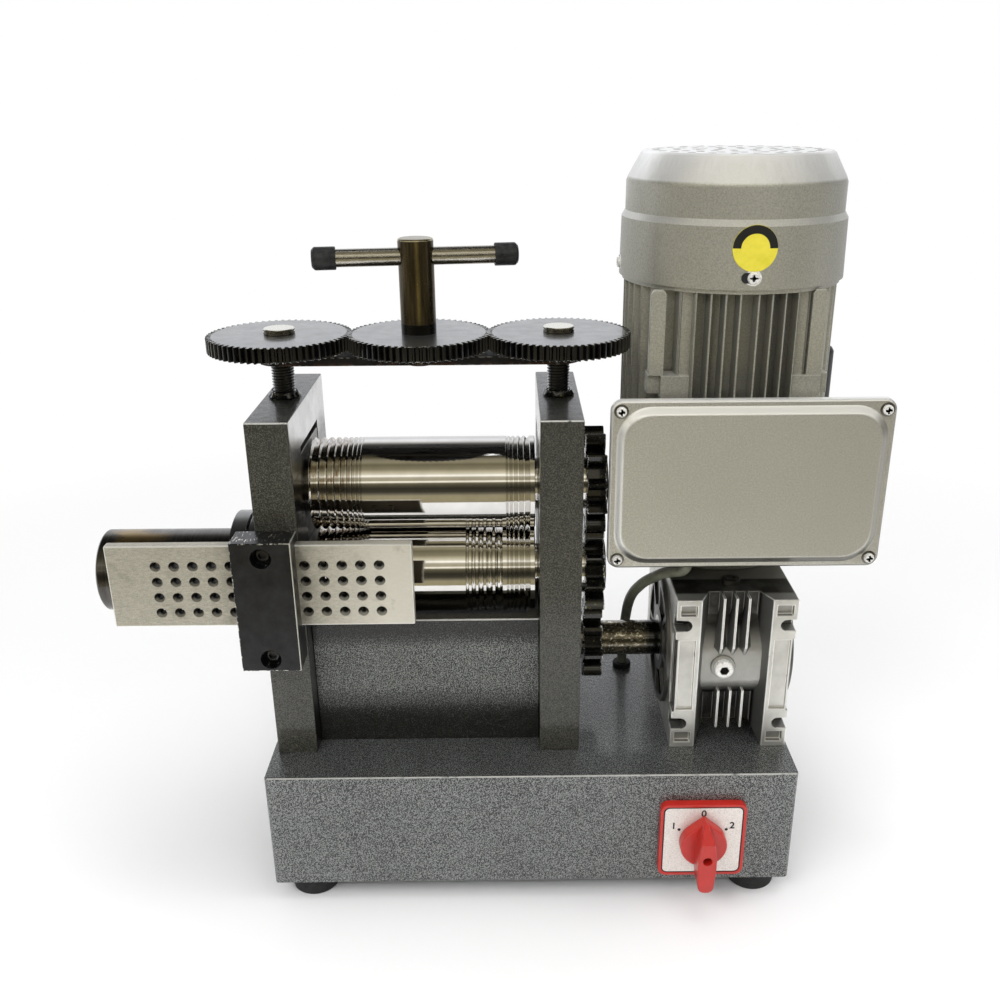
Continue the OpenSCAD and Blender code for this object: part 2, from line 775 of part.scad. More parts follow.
module motor_fan_cowl() {
    r = cowl_r;
    t = cowl_t;
    h = cowl_h;
    color(motor_paint) place() translate([gearbox_x, motor_y, cowl_z0]) difference() {
        rotate_extrude() polygon([[r, 0], [r - 0.7, h * 0.48], [r - 3.2, h * 0.53], [r - 3.2, h * 0.76],
            [r - 4.4, h * 0.8], [r - 12.8, h - 1.5], [r - 15, h], [0, h], [0, h - t], [r - 15 - t, h - t],
            [r - 4.4 - t, h * 0.78], [r - 3.2 - t, h * 0.75], [r - 3.2 - t, h * 0.52], [r - t - 0.7, h * 0.46],
            [r - t, 0]]);
        for (k = [1:4], a = [0:60 / k:359]) rotate(a + 8 * k) translate([14 * k, 0, h - 2 * t])
            cylinder(h = 3 * t, d = 6);
    }
}

module capacitor_housing() {
    color([0.07, 0.07, 0.07]) place() union() {
        translate([capacitor_x, capacitor_y, capacitor_z0]) rotate_extrude() polygon([[0, 0],
            [capacitor_d / 2, 0], [capacitor_d / 2, capacitor_h - 3], [capacitor_d / 2 - 3, capacitor_h],
            [0, capacitor_h]]);
        translate([gearbox_x, motor_y, capacitor_z0 + capacitor_foot_inset]) rotate(capacitor_turn)
            translate([fin_r, -capacitor_foot_w / 2, 0])
                cube([capacitor_pad + capacitor_d / 2, capacitor_foot_w,
                    capacitor_h - 2 * capacitor_foot_inset]);
    }
}

module electric_box_body() {
    color(motor_paint) place() round_plate(box_x, box_body_y, box_z, box_w - 2 * box_inset,
        box_h - 2 * box_inset, box_body_t, max(2, box_corner - 2));
}

module electric_box_cover() {
    w = box_w / 2 - box_panel_inset;
    h = box_h / 2 - box_panel_inset;
    bevel = box_panel_cut;
    color(cast_metal) place() difference() {
        union() {
            round_plate(box_x, box_front_y + box_panel_t, box_z, box_w, box_h, box_cover_t - box_panel_t,
                box_corner);
            translate([box_x, box_front_y + box_cover_t / 2, box_z]) rotate([90, 0, 0])
                linear_extrude(box_cover_t / 2)
                    polygon([[-w, -h + bevel], [-w + bevel, -h], [w - bevel, -h], [w, -h + bevel],
                        [w, h - bevel], [w - bevel, h], [-w + bevel, h], [-w, h - bevel]]);
        }
        for (sx = [-1, 1], sz = [-1, 1])
            translate([box_x + sx * (box_w / 2 - box_screw_inset), box_front_y - cut,
                box_z + sz * (box_h / 2 - box_screw_inset)]) rotate([-90, 0, 0])
                    cylinder(h = box_panel_t + 1.5 + cut, d = box_screw_d);
    }
}

// Tube of eight sides swept along a route of points
module swept_tube(route, d) {
    n = len(route);
    sides = 8;
    function way(i) = i == 0 ? [0, 0, -1] : i == n - 1 ? [0, 0, -1]
        : (route[i + 1] - route[i - 1]) / norm(route[i + 1] - route[i - 1]);
    side = [1, 0, 0];
    function ring(i) =
        let (t = way(i), v0 = cross(t, side), v = v0 / norm(v0), u = cross(v, t))
        [for (k = [0:sides - 1]) route[i] + d / 2 * (cos(360 * k / sides) * u + sin(360 * k / sides) * v)];
    points = [for (i = [0:n - 1]) each ring(i)];
    walls = [for (i = [0:n - 2], k = [0:sides - 1])
        [i * sides + k, i * sides + (k + 1) % sides, (i + 1) * sides + (k + 1) % sides, (i + 1) * sides + k]];
    ends = [[for (k = [sides - 1:-1:0]) k], [for (k = [0:sides - 1]) (n - 1) * sides + k]];
    polyhedron(points, concat(walls, ends));
}

module supply_cable() {
    color([0.36, 0.37, 0.3]) place() swept_tube(cable_route, cable_d);
}

module cable_glands() {
    color([0.08, 0.08, 0.08]) place() union() {
        translate([box_gland[0], box_gland[1], cable_start_z]) cylinder(h = gland_h, d = cable_d + 7);
        translate([base_gland[0], base_gland[1], 0]) cylinder(h = grommet_h, d = cable_d + 7);
    }
}

module switch_frame() {
    color(switch_red) place() difference() {
        round_plate(switch_x, -switch_t, switch_z, switch_w, switch_w, switch_t, 6);
        round_plate(switch_x, -switch_t - cut, switch_z, switch_w - 2 * switch_rim, switch_w - 2 * switch_rim,
            switch_recess + cut, 4);
    }
}

module switch_face() {
    w = switch_w - 2 * switch_rim - 0.4;
    color(bright_steel) place() difference() {
        round_plate(switch_x, switch_face_y, switch_z, w, w, switch_recess - 0.4, 3.8);
        translate([switch_x, -switch_t - cut, switch_z]) rotate([-90, 0, 0])
            cylinder(h = switch_recess + 2 * cut, d = knob_spindle_d + 2);
    }
}

module switch_knob() {
    y1 = switch_face_y - seat;
    y0 = -knob_reach;
    color(switch_red) place() translate([switch_x, 0, switch_z]) union() {
        translate([0, y1 - knob_disc_t, 0]) rotate([-90, 0, 0]) cylinder(h = knob_disc_t, d = knob_d);
        translate([0, y1 - 1, 0]) rotate([-90, 0, 0]) cylinder(h = 1 + seat + 1.2, d = knob_spindle_d);
        translate([-grip_w / 2, 0, 0]) rotate([90, 0, 90]) linear_extrude(grip_w)
            polygon([[y1, knob_d / 2 - 2], [y1, -knob_d / 2 + 2], [y0 + 11, -24], [y0 + 9, -27], [y0 + 3, -28],
                [y0, -25], [y0, 2], [y0 + 3, 7], [y1 - 4, 21.5], [y1 - 1, 22]]);
    }
}

module gear_bridge() {
    color(black_steel) place() difference() {
        translate([0, adjust_y, bridge_z0]) linear_extrude(bridge_t) union() {
            translate([left_axis_x, -bridge_w / 2]) square([right_axis_x - left_axis_x, bridge_w]);
            for (x = [left_axis_x, right_axis_x]) translate([x, 0]) circle(d = bridge_w);
        }
        for (x = [left_axis_x, mid_axis_x, right_axis_x])
            translate([x, adjust_y, bridge_z0 - cut]) cylinder(h = bridge_t + 2 * cut, d = screw_d + 2 * slip);
    }
}

module centre_gear() {
    color(black_steel) place() adjusting_gear(mid_axis_x, screw_d + 2 * slip, 0);
}

module handle_column() {
    z0 = bridge_z0 - seat - ring_h;
    color([0.28, 0.24, 0.16]) place() difference() {
        translate([mid_axis_x, adjust_y, 0]) rotate_extrude()
            polygon([[0, z0], [ring_d / 2, z0], [ring_d / 2, z0 + ring_h], [screw_d / 2, z0 + ring_h],
                [screw_d / 2, gear_top_z], [column_d / 2, gear_top_z],
                [column_d / 2, gear_top_z + column_h - 1], [column_d / 2 - 1, gear_top_z + column_h],
                [0, gear_top_z + column_h]]);
        translate([mid_axis_x, adjust_y, bar_z]) rotate(bar_turn)
            bar_x(-column_d, column_d, 0, 0, bar_d + 2 * slip);
    }
}

module handle_bar() {
    color(bright_steel) place() translate([mid_axis_x, adjust_y, bar_z]) rotate(bar_turn)
        bar_x(-bar_len / 2 + bar_seat, bar_len / 2 - bar_seat, 0, 0, bar_d);
}

module handle_caps() {
    color([0.06, 0.06, 0.07]) place() translate([mid_axis_x, adjust_y, bar_z]) rotate(bar_turn)
        for (s = [0, 1]) mirror([s, 0, 0]) difference() {
            translate([bar_len / 2 - bar_cap_len, 0, 0]) rotate([0, 90, 0]) rotate_extrude()
                polygon([[0, 0], [bar_cap_d / 2, 0], [bar_cap_d / 2, bar_cap_len - 2],
                    [bar_cap_d / 2 - 2, bar_cap_len], [0, bar_cap_len]]);
            bar_x(bar_len / 2 - bar_cap_len - cut, bar_len / 2 - bar_seat, 0, 0, bar_d + 2 * slip);
        }
}

// Threaded screw with the ring that carries the bridge
module adjusting_screw(x) {
    z0 = bridge_z0 - seat - ring_h;
    color(black_steel) place() translate([x, adjust_y, 0]) union() {
        translate([0, 0, screw_z0]) cylinder(h = gear_top_z - screw_z0, d = screw_d);
        translate([0, 0, z0]) cylinder(h = ring_h, d = ring_d);
    }
}

module left_screw() {
    adjusting_screw(left_axis_x);
}

module right_screw() {
    adjusting_screw(right_axis_x);
}

module left_screw_gear() {
    color(black_steel) place() adjusting_gear(left_axis_x, screw_d + 2 * slip, 180 / adjust_teeth);
}

module right_screw_gear() {
    color(black_steel) place() adjusting_gear(right_axis_x, screw_d + 2 * slip, 180 / adjust_teeth);
}

module gear_cap(x) {
    r = cap_d / 2;
    color(bright_steel) place() translate([x, adjust_y, gear_top_z]) rotate_extrude()
        polygon([[0, 0], [r, 0], [r, cap_h * 0.4], [r - 0.6, cap_h * 0.5], [r, cap_h * 0.6], [r, cap_h - 0.5],
            [r - 0.5, cap_h], [0, cap_h]]);
}

module left_gear_cap() {
    gear_cap(left_axis_x);
}

module right_gear_cap() {
    gear_cap(right_axis_x);
}

module drawplate() {
    color([0.68, 0.68, 0.66]) place() difference() {
        translate([plate_x0, plate_y0, plate_z0]) cube([plate_len, plate_t, plate_h]);
        for (i = [0:hole_cols - 1], j = [0:hole_rows - 1]) {
            d = hole_d_max - hole_step * (i + j * hole_cols);
            translate([holes_x0 + i * hole_pitch_x, plate_y0, holes_z0 - j * hole_pitch_z])
            rotate([-90, 0, 0]) {
                translate([0, 0, -cut]) cylinder(h = plate_t + 2 * cut, d = d);
                rotate_extrude() polygon([[0, -cut], [hole_sink_d / 2, -cut], [hole_sink_d / 2, 0],
                    [d / 2, hole_sink_t], [0, hole_sink_t]]);
            }
        }
    }
}

module drawplate_holder() {
    color(black_steel) place() difference() {
        translate([holder_x0, holder_y0, holder_z0]) cube([holder_w, holder_t + plate_t, holder_h]);
        translate([holder_x0 - cut, plate_y0, plate_z0 - seat])
            cube([holder_w + 2 * cut, plate_t + cut, plate_h + 2 * seat]);
        for (z = [holder_z0 + holder_screw_inset, holder_z0 + holder_h - holder_screw_inset])
            translate([holder_x0 + holder_w / 2, holder_y0 - cut, z]) rotate([-90, 0, 0])
                cylinder(h = 5 + cut, d = holder_bore_d);
    }
}

base_housing();
base_bottom_cover();
rubber_feet();
left_upright();
right_upright();
cross_member();
lower_bearing_blocks();
screw_collars();
drawplate_holder();
drawplate();
gearbox_housing();
gearbox_side_covers();
gearbox_plugs();
motor_flange();
motor_body();
motor_fan_cowl();
capacitor_housing();
electric_box_body();
electric_box_cover();
supply_cable();
cable_glands();
switch_frame();
switch_face();
lower_roll();
shaft_extension();
lock_nuts();
lower_roll_gear();
upper_bearing_blocks();
upper_roll();
upper_roll_gear();
drive_shaft();
drive_pinion();
hollow_shaft();
gear_bridge();
centre_gear();
handle_column();
handle_bar();
handle_caps();
left_screw();
left_screw_gear();
left_gear_cap();
right_screw();
right_screw_gear();
right_gear_cap();
switch_knob();
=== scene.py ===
"""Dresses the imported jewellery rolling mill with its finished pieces, materials, light and camera."""

import math

import bmesh
import bpy
from bpy.props import FloatProperty, FloatVectorProperty, PointerProperty
from mathutils import Matrix, Vector, noise


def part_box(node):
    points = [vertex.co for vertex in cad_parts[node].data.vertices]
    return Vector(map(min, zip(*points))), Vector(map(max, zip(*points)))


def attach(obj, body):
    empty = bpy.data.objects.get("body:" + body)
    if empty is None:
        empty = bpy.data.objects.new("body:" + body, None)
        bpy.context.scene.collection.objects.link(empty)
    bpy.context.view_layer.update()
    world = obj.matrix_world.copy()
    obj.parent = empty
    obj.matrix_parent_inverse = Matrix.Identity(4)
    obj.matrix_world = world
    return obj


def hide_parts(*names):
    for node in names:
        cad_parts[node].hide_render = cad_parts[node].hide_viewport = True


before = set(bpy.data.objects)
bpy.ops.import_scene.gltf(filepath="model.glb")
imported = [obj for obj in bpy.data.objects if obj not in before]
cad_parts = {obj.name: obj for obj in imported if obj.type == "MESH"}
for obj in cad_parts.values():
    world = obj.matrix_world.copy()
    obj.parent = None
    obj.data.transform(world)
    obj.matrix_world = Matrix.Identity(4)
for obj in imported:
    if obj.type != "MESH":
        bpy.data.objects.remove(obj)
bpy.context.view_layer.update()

bl_info = {
    "name": "Jewellery rolling mill",
    "version": (1, 0, 0),
    "blender": (4, 5, 0),
    "location": "3D View > Sidebar > Mill",
    "description": "Builds the finished pieces of a motor-driven rolling mill around its packed parts",
    "category": "Object",
}

MM = 0.001
# how far a point may lie from a plane of the CAD and still count as on it
ON_PLANE = 1e-5
X, Y, Z = Vector((1, 0, 0)), Vector((0, 1, 0)), Vector((0, 0, 1))
BASE_LO, BASE_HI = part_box("base_housing")


def at(x, y, z):
    """A place in millimetres from the base's top front left corner."""
    return Vector((BASE_LO.x, BASE_LO.y, BASE_HI.z)) + Vector((x, y, z)) * MM


def spot(node, x=0.5, y=0.5, z=0.5):
    """A place in a CAD node's box, by its shares of the three sides; the middle unless told."""
    lo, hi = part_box(node)
    return Vector([a + (b - a) * share for a, b, share in zip(lo, hi, (x, y, z))])


# ---------------------------------------------------------------- finishes


class Value:
    """A number, colour, vector or shader in a graph, joined with others by plain signs; | takes the greater."""

    def __init__(self, graph, socket):
        self.graph, self.socket = graph, socket

    def __add__(self, other):
        return self.graph.math("ADD", self, other)

    def __sub__(self, other):
        return self.graph.math("SUBTRACT", self, other)

    def __rsub__(self, other):
        return self.graph.math("SUBTRACT", other, self)

    def __mul__(self, other):
        return self.graph.math("MULTIPLY", self, other)

    def __truediv__(self, other):
        return self.graph.math("DIVIDE", self, other)

    def __or__(self, other):
        return self.graph.math("MAXIMUM", self, other)

    def __abs__(self):
        return self.graph.math("ABSOLUTE", self)

    def span(self, low, high, to_low=0.0, to_high=1.0):
        """The value taken from low..high to to_low..to_high, and held there outside."""
        return self.graph.node("MapRange", self, low, high, to_low, to_high)

    def swing(self, low, high):
        """A noise's usual range taken to low..high."""
        return self.span(0.3, 0.7, low, high)

    def ramp(self, *stops):
        """Colours along the value; each stop is (place, colour)."""
        made = self.graph.node("ValToRGB", self)
        elements = made.socket.node.color_ramp.elements
        while len(elements) < len(stops):
            elements.new(0.5)
        for element, (position, colour) in zip(elements, stops):
            element.position, element.color = position, (*colour, 1)
        return made

    def between(self, first, second):
        """Two colours, spread over a noise's usual range."""
        return self.ramp((0.3, first), (0.7, second))

    def mix(self, first, second):
        """The first colour where the value is 0, the second where it is 1."""
        return self.graph.node("Mix", self, *[None] * 5, first, second, out="Result_Color", data_type="RGBA")


class Graph:
    """Short calls that lay the nodes of a material or of the world."""

    def __init__(self, owner):
        owner.use_nodes = True
        self.nodes = owner.node_tree.nodes
        self.links = owner.node_tree.links

    def join(self, value, socket):
        if isinstance(value, Value):
            self.links.new(value.socket, socket)
        elif isinstance(value, (tuple, list)) and len(value) == 3 and len(socket.default_value) == 4:
            socket.default_value = (*value, 1)
        elif value is not None:
            socket.default_value = value

    def node(self, kind, *values, out=None, **settings):
        """Lays a node with values on its inputs in their order, and gives one of its outputs."""
        node = self.nodes.new("ShaderNode" + kind)
        for name, setting in settings.items():
            setattr(node, name, setting)
        for value, socket in zip(values, node.inputs):
            self.join(value, socket)
        return Value(self, next(s for s in node.outputs if out in (None, s.identifier)))

    def math(self, operation, *values):
        return self.node("Math", *values, operation=operation)

    def parts(self, vector):
        """The X, Y and Z of a vector."""
        return [Value(self, socket) for socket in self.node("SeparateXYZ", vector).socket.node.outputs]

    def choose(self, ray, first, second, where=None):
        """The second shader for rays of that kind, where the value says so, and else the first."""
        kind = self.node("LightPath", out=ray)
        return self.node("MixShader", where * kind if where else kind, first, second)


class Finish(Graph):
    """A material in the making, on object coordinates; plain values go on the shader's own sockets."""

    def __init__(self, name, **sockets):
        self.material = bpy.data.materials.new("mill_" + name)
        super().__init__(self.material)
        self.shader = self.nodes["Principled BSDF"]
        self.place = self.node("TexCoord", out="Object")
        self.set(**sockets)

    def set(self, **sockets):
        for name, value in sockets.items():
            self.join(value, self.shader.inputs[name.replace("_", " ")])

    def pattern(self, kind, *values, stretch=(1, 1, 1), move=(0, 0, 0), **settings):
        """A texture on object coordinates scaled by axis, for brushed and streaked patterns."""
        return self.node(kind, self.node("Mapping", self.place, move, None, stretch), None, *values, **settings)

    def noise(self, size, detail=2.0, rough=0.5, distort=0.0, **place):
        """Noise whose lumps are about size metres across."""
        return self.pattern("TexNoise", 1 / size, detail, rough, None, None, None, distort, **place)

    def cells(self, size):
        return self.pattern("TexVoronoi", 1 / size, None, None, None, 0.6, feature="SMOOTH_F1")

    def along(self, axis):
        """One object coordinate."""
        return self.parts(self.place)["XYZ".index(axis)]

    def facing(self, axis):
        """One part of the surface's own direction."""
        return self.parts(self.node("NewGeometry", out="Normal"))["XYZ".index(axis)]

    def marked(self, name):
        """A mark that the piece's faces carry, such as wear on rounded edges, from 0 to 1."""
        return self.node("Attribute", out="Fac", attribute_name=name)

    def wear(self, size, low=0.42, high=0.55):
        """Worn spots along the rounded edges, from 0 to 1."""
        return self.marked("wear") * self.noise(size, 3.0, 0.6).span(low, high)

    def done(self, colour, roughness, height=None, depth=0.0, strength=0.5):
        """Sets the colour, the roughness and a relief that is depth metres deep at most."""
        self.set(Base_Color=colour, Roughness=roughness)
        if depth:
            self.set(Normal=self.node("Bump", strength, depth, None, height))
        return self.material


def shades(colour, factor=1.0):
    return tuple(min(1, c * factor) for c in colour)


def hammered_paint(name, dark, light, cross_front_lit_fleck, metal, line, contrast, relief, top):
    """Glossy hammered paint, rubbed to bright metal along its edges, with painted shade and painted light in its
    flecks.
    """
    mat = Finish(name, Coat_Weight=0.7, Coat_Roughness=0.16)
    dimples, broad = mat.noise(0.0008, 2.0, 0.5, 0.6), mat.noise(0.07, 3.0)
    # where painted shade falls the paint has fewer light flecks; the cross member's flat front is painted as if curved,
    # with painted shade near its top and bottom and brighter flecks between as painted light
    lo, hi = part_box("cross_member")
    up, cross_front, ground = mat.along("Z"), mat.marked("painted_curve_shading"), mat.marked("bare")
    height = up.span(lo.z, hi.z)
    painted_curve_shading = (height.span(0.45, 0.2) | height.span(0.78, 0.9, 0, 0.95)) * cross_front
    # painted shade on faces that look up and towards the top of the stand
    shade = mat.facing("Z").span(0.6, 0.95, 0, top) | painted_curve_shading | up.span(hi.z, hi.z + 0.15, 0, 0.6)
    shade = (shade + broad.span(0.25, 0.75, 0, 0.3)) * 0.1
    sharp = mat.noise(0.045, move=(0.2, 0.4, 0.1)).span(0.35, 0.65, contrast, contrast / 2)
    flecks = (dimples - shade).span(0.5 - sharp, sharp + 0.52)
    paint = flecks.mix(cross_front.mix(dark, shades(dark, 0.2)), cross_front.mix(light, cross_front_lit_fleck))
    # near-black painted shade at the cross front's top and bottom
    paint = mat.wear(*line).mix((painted_curve_shading * 0.65).mix(paint, (0.004, 0.004, 0.004)), metal)
    # the uprights' bare inner sides, painted dark towards the bottom as a painted reflection of the dark roll
    machined = mat.noise(0.02, 4.0, 0.6).between((0.62, 0.63, 0.62), (0.92, 0.93, 0.92))
    machined = (up + broad * 0.03).span(hi.z + 0.138, hi.z + 0.122).mix(machined, (0.035, 0.035, 0.033))
    mat.set(Metallic=ground.span(0, 1, 0.25, 1))
    return mat.done(ground.mix(paint, machined), dimples.span(0.35, 0.7, 0.4, 0.25),
                    (dimples + mat.cells(relief * 8) * 1.2) * ground.span(0, 1, 1, 0.08), relief, 1.0)


def hammertone():
    colour = shades(bpy.context.scene.mill_castings.base_colour)
    return hammered_paint("hammertone", shades(colour, 0.05), colour, colour, (0.5, 0.49, 0.46),
                          (0.012, 0.3, 0.45), 0.06, 0.0004, 0.35)


def hammertone_dark():
    colour = shades(bpy.context.scene.mill_castings.stand_colour)
    return hammered_paint("hammertone_dark", shades(colour, 0.2), colour, (0.285, 0.3, 0.279), (0.6, 0.59, 0.55),
                          (0.012, 0.3, 0.42), 0.07, 0.0009, 0.7)


def black_oxide():
    """Blackened steel under a film of oil: black from the front, bright where light grazes it."""
    mat = Finish("black_oxide", Metallic=0.85, Coat_Weight=0.9, Coat_Roughness=0.12)
    cloud = mat.noise(0.012, 4.0, 0.6)
    black = cloud.between((0.006, 0.006, 0.007), (0.022, 0.022, 0.023))
    # painted sheen: the tops are painted lighter
    black = mat.facing("Z").span(0.8, 0.97).mix(black, (0.16, 0.165, 0.16))
    return mat.done(mat.wear(0.003, 0.55, 0.64).mix(black, (0.5, 0.49, 0.46)), cloud.swing(0.25, 0.4),
                    mat.noise(0.0009, 3.0, 0.6), 0.00006)


def clamp_black():
    """Blackened steel, scratched to silver on its top and rubbed along its right front edge."""
    mat = Finish("clamp_black", Metallic=0.85, Coat_Weight=0.5, Coat_Roughness=0.3)
    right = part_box("drawplate_holder")[1].x
    cloud = mat.noise(0.012, 4.0, 0.6)
    scratch = mat.noise(0.0014, 3.0, 0.7, 0.5, stretch=(1, 0.22, 1), move=(0.1, 0.3, 0)).span(0.6, 0.64)
    rubbed = mat.marked("wear") * mat.along("X").span(right - 0.002, right - 0.001) * mat.noise(0.03).span(0.25, 0.4)
    worn = scratch * mat.facing("Z").span(0.7, 0.95) | rubbed | mat.wear(0.003, 0.5, 0.6)
    black = cloud.between((0.008, 0.008, 0.01), (0.026, 0.027, 0.03))
    return mat.done(worn.mix(black, (0.75, 0.74, 0.68)), cloud.swing(0.34, 0.46), mat.noise(0.0009, 3.0, 0.6), 0.00008)


def stained_black():
    """Blackened steel with rusty brown smears along its lower edge."""
    mat = Finish("stained_black", Metallic=0.6)
    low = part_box("gear_bridge")[0].z
    cloud = mat.noise(0.012, 4.0, 0.6)
    black = cloud.between((0.006, 0.006, 0.007), (0.022, 0.021, 0.02))
    black = mat.wear(0.004, 0.5, 0.6).mix(black, (0.2, 0.19, 0.17))
    edge = mat.along("Z").span(low, low + 0.003, 1, 0) * mat.facing("Z").span(-0.9, -0.7)
    rust = edge * mat.noise(0.009, 4.0, 0.7).span(0.42, 0.6)
    return mat.done(rust.mix(black, (0.085, 0.035, 0.016)), cloud.swing(0.32, 0.55), mat.noise(0.0015), 0.0001, 0.4)


def gear_train():
    """Greasy black steel teeth, bright on their rounded tooth ends where they rub and with painted glints there, with
    flecks of thick grease.
    """
    mat = Finish("gear_train", Metallic=0.75, Coat_Weight=1.0, Coat_Roughness=0.08)
    cloud = mat.noise(0.006, 4.0, 0.65)
    black = cloud.ramp((0.3, (0.004, 0.004, 0.004)), (0.6, (0.014, 0.014, 0.013)), (0.8, (0.05, 0.049, 0.043)))
    black = mat.noise(0.003, 3.0, 0.7, move=(0.3, 0.1, 0)).span(0.64, 0.67).mix(black, (0.11, 0.11, 0.03))
    return mat.done(mat.wear(0.0025, 0.5, 0.56).mix(black, (0.7, 0.69, 0.65)), cloud.swing(0.15, 0.4),
                    mat.noise(0.0022, 3.0, 0.6), 0.0004, 0.7)


def polished_steel():
    """Mirror-ground steel with the faint rings of its grinding, stained in its grooves."""
    mat = Finish("polished_steel", Metallic=1.0)
    rings = mat.noise(0.0004, 2.0, 0.6, stretch=(1, 0.02, 0.02))
    colour = shades(bpy.context.scene.mill_steel.polished_colour)
    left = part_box("lower_roll")[0].x
    stain = mat.noise(0.0024, 4.0, 0.65, stretch=(1, 0.35, 0.35)).span(0.45, 0.65, 0, 0.65)
    steel = mat.noise(0.02, 3.0, 0.6).span(0.35, 0.7).mix(colour, shades(colour, 0.88))
    steel = (stain * mat.along("X").span(left + 0.085, left + 0.075)).mix(steel, (0.3, 0.2, 0.1))
    return mat.done(steel, rings.swing(0.03, 0.085), rings, 0.000004)


def cap_steel():
    """Bright steel, its polished top painted creamy bright as painted light and its sides painted dark as painted
    shade.
    """
    mat = Finish("cap_steel", Metallic=1.0)
    cloud = mat.noise(0.003, 3.0, 0.6)
    side = cloud.between((0.08, 0.075, 0.06), (0.3, 0.29, 0.25))
    # the top gets painted light, the sides painted shade
    return mat.done(mat.facing("Z").span(0.3, 0.8).mix(side, (0.92, 0.9, 0.82)), cloud.swing(0.2, 0.32),
                    mat.noise(0.0006), 0.00003, 0.4)


def plate_steel():
    """Ground grey steel plate, smudged and fingerprinted, bright along its edges."""
    mat = Finish("plate_steel", Metallic=0.7)
    grain = mat.noise(0.0009, 3.0, 0.6, stretch=(0.3, 1, 1)) + mat.noise(0.0007, 2.0, 0.6, move=(0.1, 0, 0.3))
    smudge, across = mat.noise(0.02, 4.0, 0.65), mat.along("X")
    lo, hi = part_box("drawplate_holder")
    half = (hi.x - lo.x) / 2
    metal = (grain * 0.5).ramp((0.36, (0.38, 0.36, 0.3)), (0.64, (0.6, 0.575, 0.49)))
    # painted light: the plate is lighter and warmer to the right of the clamp
    metal = across.span(hi.x + 0.015, hi.x + 0.06, 0, 0.75).mix(metal, (0.82, 0.79, 0.7))
    dirt = abs(across - (lo.x + hi.x) / 2).span(half, half + 0.016, 1, 0) * smudge.span(0.36, 0.62, 0, 0.8)
    metal = (dirt | smudge.span(0.58, 0.72) * 0.35).mix(metal, (0.15, 0.14, 0.11))
    # oily back, and painted shade in the holes: dark deep inside and on their countersinks, less where these face up
    metal = mat.facing("Y").span(0.3, 0.8).mix(metal, (0.22, 0.19, 0.15))
    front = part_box("drawplate")[0].y
    deep = mat.along("Y").span(front + 0.0012, front + 0.003) | mat.facing("Z").span(0, 0.5, 0.97, 0.3)
    metal = (mat.marked("bore") * deep).mix(metal, (0.012, 0.011, 0.009))
    return mat.done(mat.wear(0.02, 0.2, 0.42).mix(metal, (0.85, 0.84, 0.78)), smudge.swing(0.5, 0.38), grain, 0.00003)


def temper_steel():
    """Blackened turned steel with a golden brown temper band near its outer end."""
    mat = Finish("temper_steel", Metallic=1.0, Coat_Weight=0.6, Coat_Roughness=0.1)
    lo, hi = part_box("shaft_extension")
    rings, across = mat.noise(0.0012, 3.0, 0.6, stretch=(1, 0.05, 0.05)), mat.along("X")
    ragged = across + mat.noise(0.012, 3.0, 0.6, stretch=(0.3, 1, 1)).swing(-0.012, 0.012)
    band = ragged.span(lo.x + 0.008, lo.x + 0.016) * ragged.span(lo.x + 0.03, lo.x + 0.05, 1, 0)
    steel = rings.between((0.05, 0.047, 0.042), (0.11, 0.1, 0.09))
    # the temper band's gold is painted only on faces that look up: a real temper colour with painted light
    steel = (band * mat.facing("Z").span(0.2, 0.6, 0, 0.8)).mix(steel, (0.36, 0.24, 0.08))
    steel = mat.facing("X").span(-0.5, -0.9).mix(steel, (0.03, 0.028, 0.024))
    steel = across.span(hi.x - 0.085, hi.x - 0.05, 0, 0.5).mix(steel, (0.03, 0.027, 0.022))
    return mat.done(steel, mat.noise(0.015, 3.0, 0.6).swing(0.24, 0.38), rings, 0.00002)


def oily_steel():
    """Brown oiled steel with dark and pale flecks, black where it enters the gearbox."""
    mat = Finish("oily_steel", Metallic=0.9, Coat_Weight=0.9, Coat_Roughness=0.08)
    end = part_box("gearbox_side_covers")[0].x
    streak = mat.noise(0.005, 5.0, 0.7, 0.4, stretch=(0.6, 1, 1))
    brown = streak.ramp((0.3, (0.01, 0.008, 0.004)), (0.52, (0.09, 0.075, 0.045)), (0.75, (0.34, 0.29, 0.19)))
    fleck = mat.noise(0.0022, 3.0, 0.7, move=(0.2, 0, 0)).span(0.54, 0.64) * 0.75
    dark_at_gearbox = (mat.along("X") + streak * 0.006).span(end - 0.009, end - 0.005)
    return mat.done(dark_at_gearbox.mix(fleck.mix(brown, (0.72, 0.69, 0.58)), (0.008, 0.008, 0.007)), streak.swing(0.35, 0.18),
                    mat.noise(0.003, 3.0), 0.0002)


def column_steel():
    """Dark olive-brown turned steel, brushed along its length, on a black foot, with a painted golden highlight down
    its front and a top painted lighter as painted light.
    """
    mat = Finish("column_steel", Metallic=1.0)
    brushed, cloud = mat.noise(0.0012, 3.0, 0.6, stretch=(1, 1, 0.05)), mat.noise(0.02, 3.0, 0.6)
    right, foot = mat.facing("X"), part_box("centre_gear")[1].z + 0.0065
    # a painted golden highlight in a strip down the front
    painted_highlight = right.span(-0.02, 0.1) * right.span(0.14, 0.3, 1, 0) * mat.facing("Y").span(0, -0.5)
    steel = brushed.between((0.06, 0.049, 0.032), (0.15, 0.122, 0.08))
    steel = (painted_highlight * cloud.swing(0.3, 0.8)).mix(steel, (0.5, 0.4, 0.17))
    # painted light on its top
    steel = mat.facing("Z").span(0.5, 0.9).mix(steel, (0.4, 0.37, 0.28))
    steel = mat.along("Z").span(foot, foot + 0.0004, 1, 0).mix(steel, (0.03, 0.03, 0.029))
    steel = mat.wear(0.004, 0.3, 0.45).mix(steel, (0.62, 0.56, 0.42))
    return mat.done(steel, cloud.swing(0.22, 0.32), brushed, 0.00003)


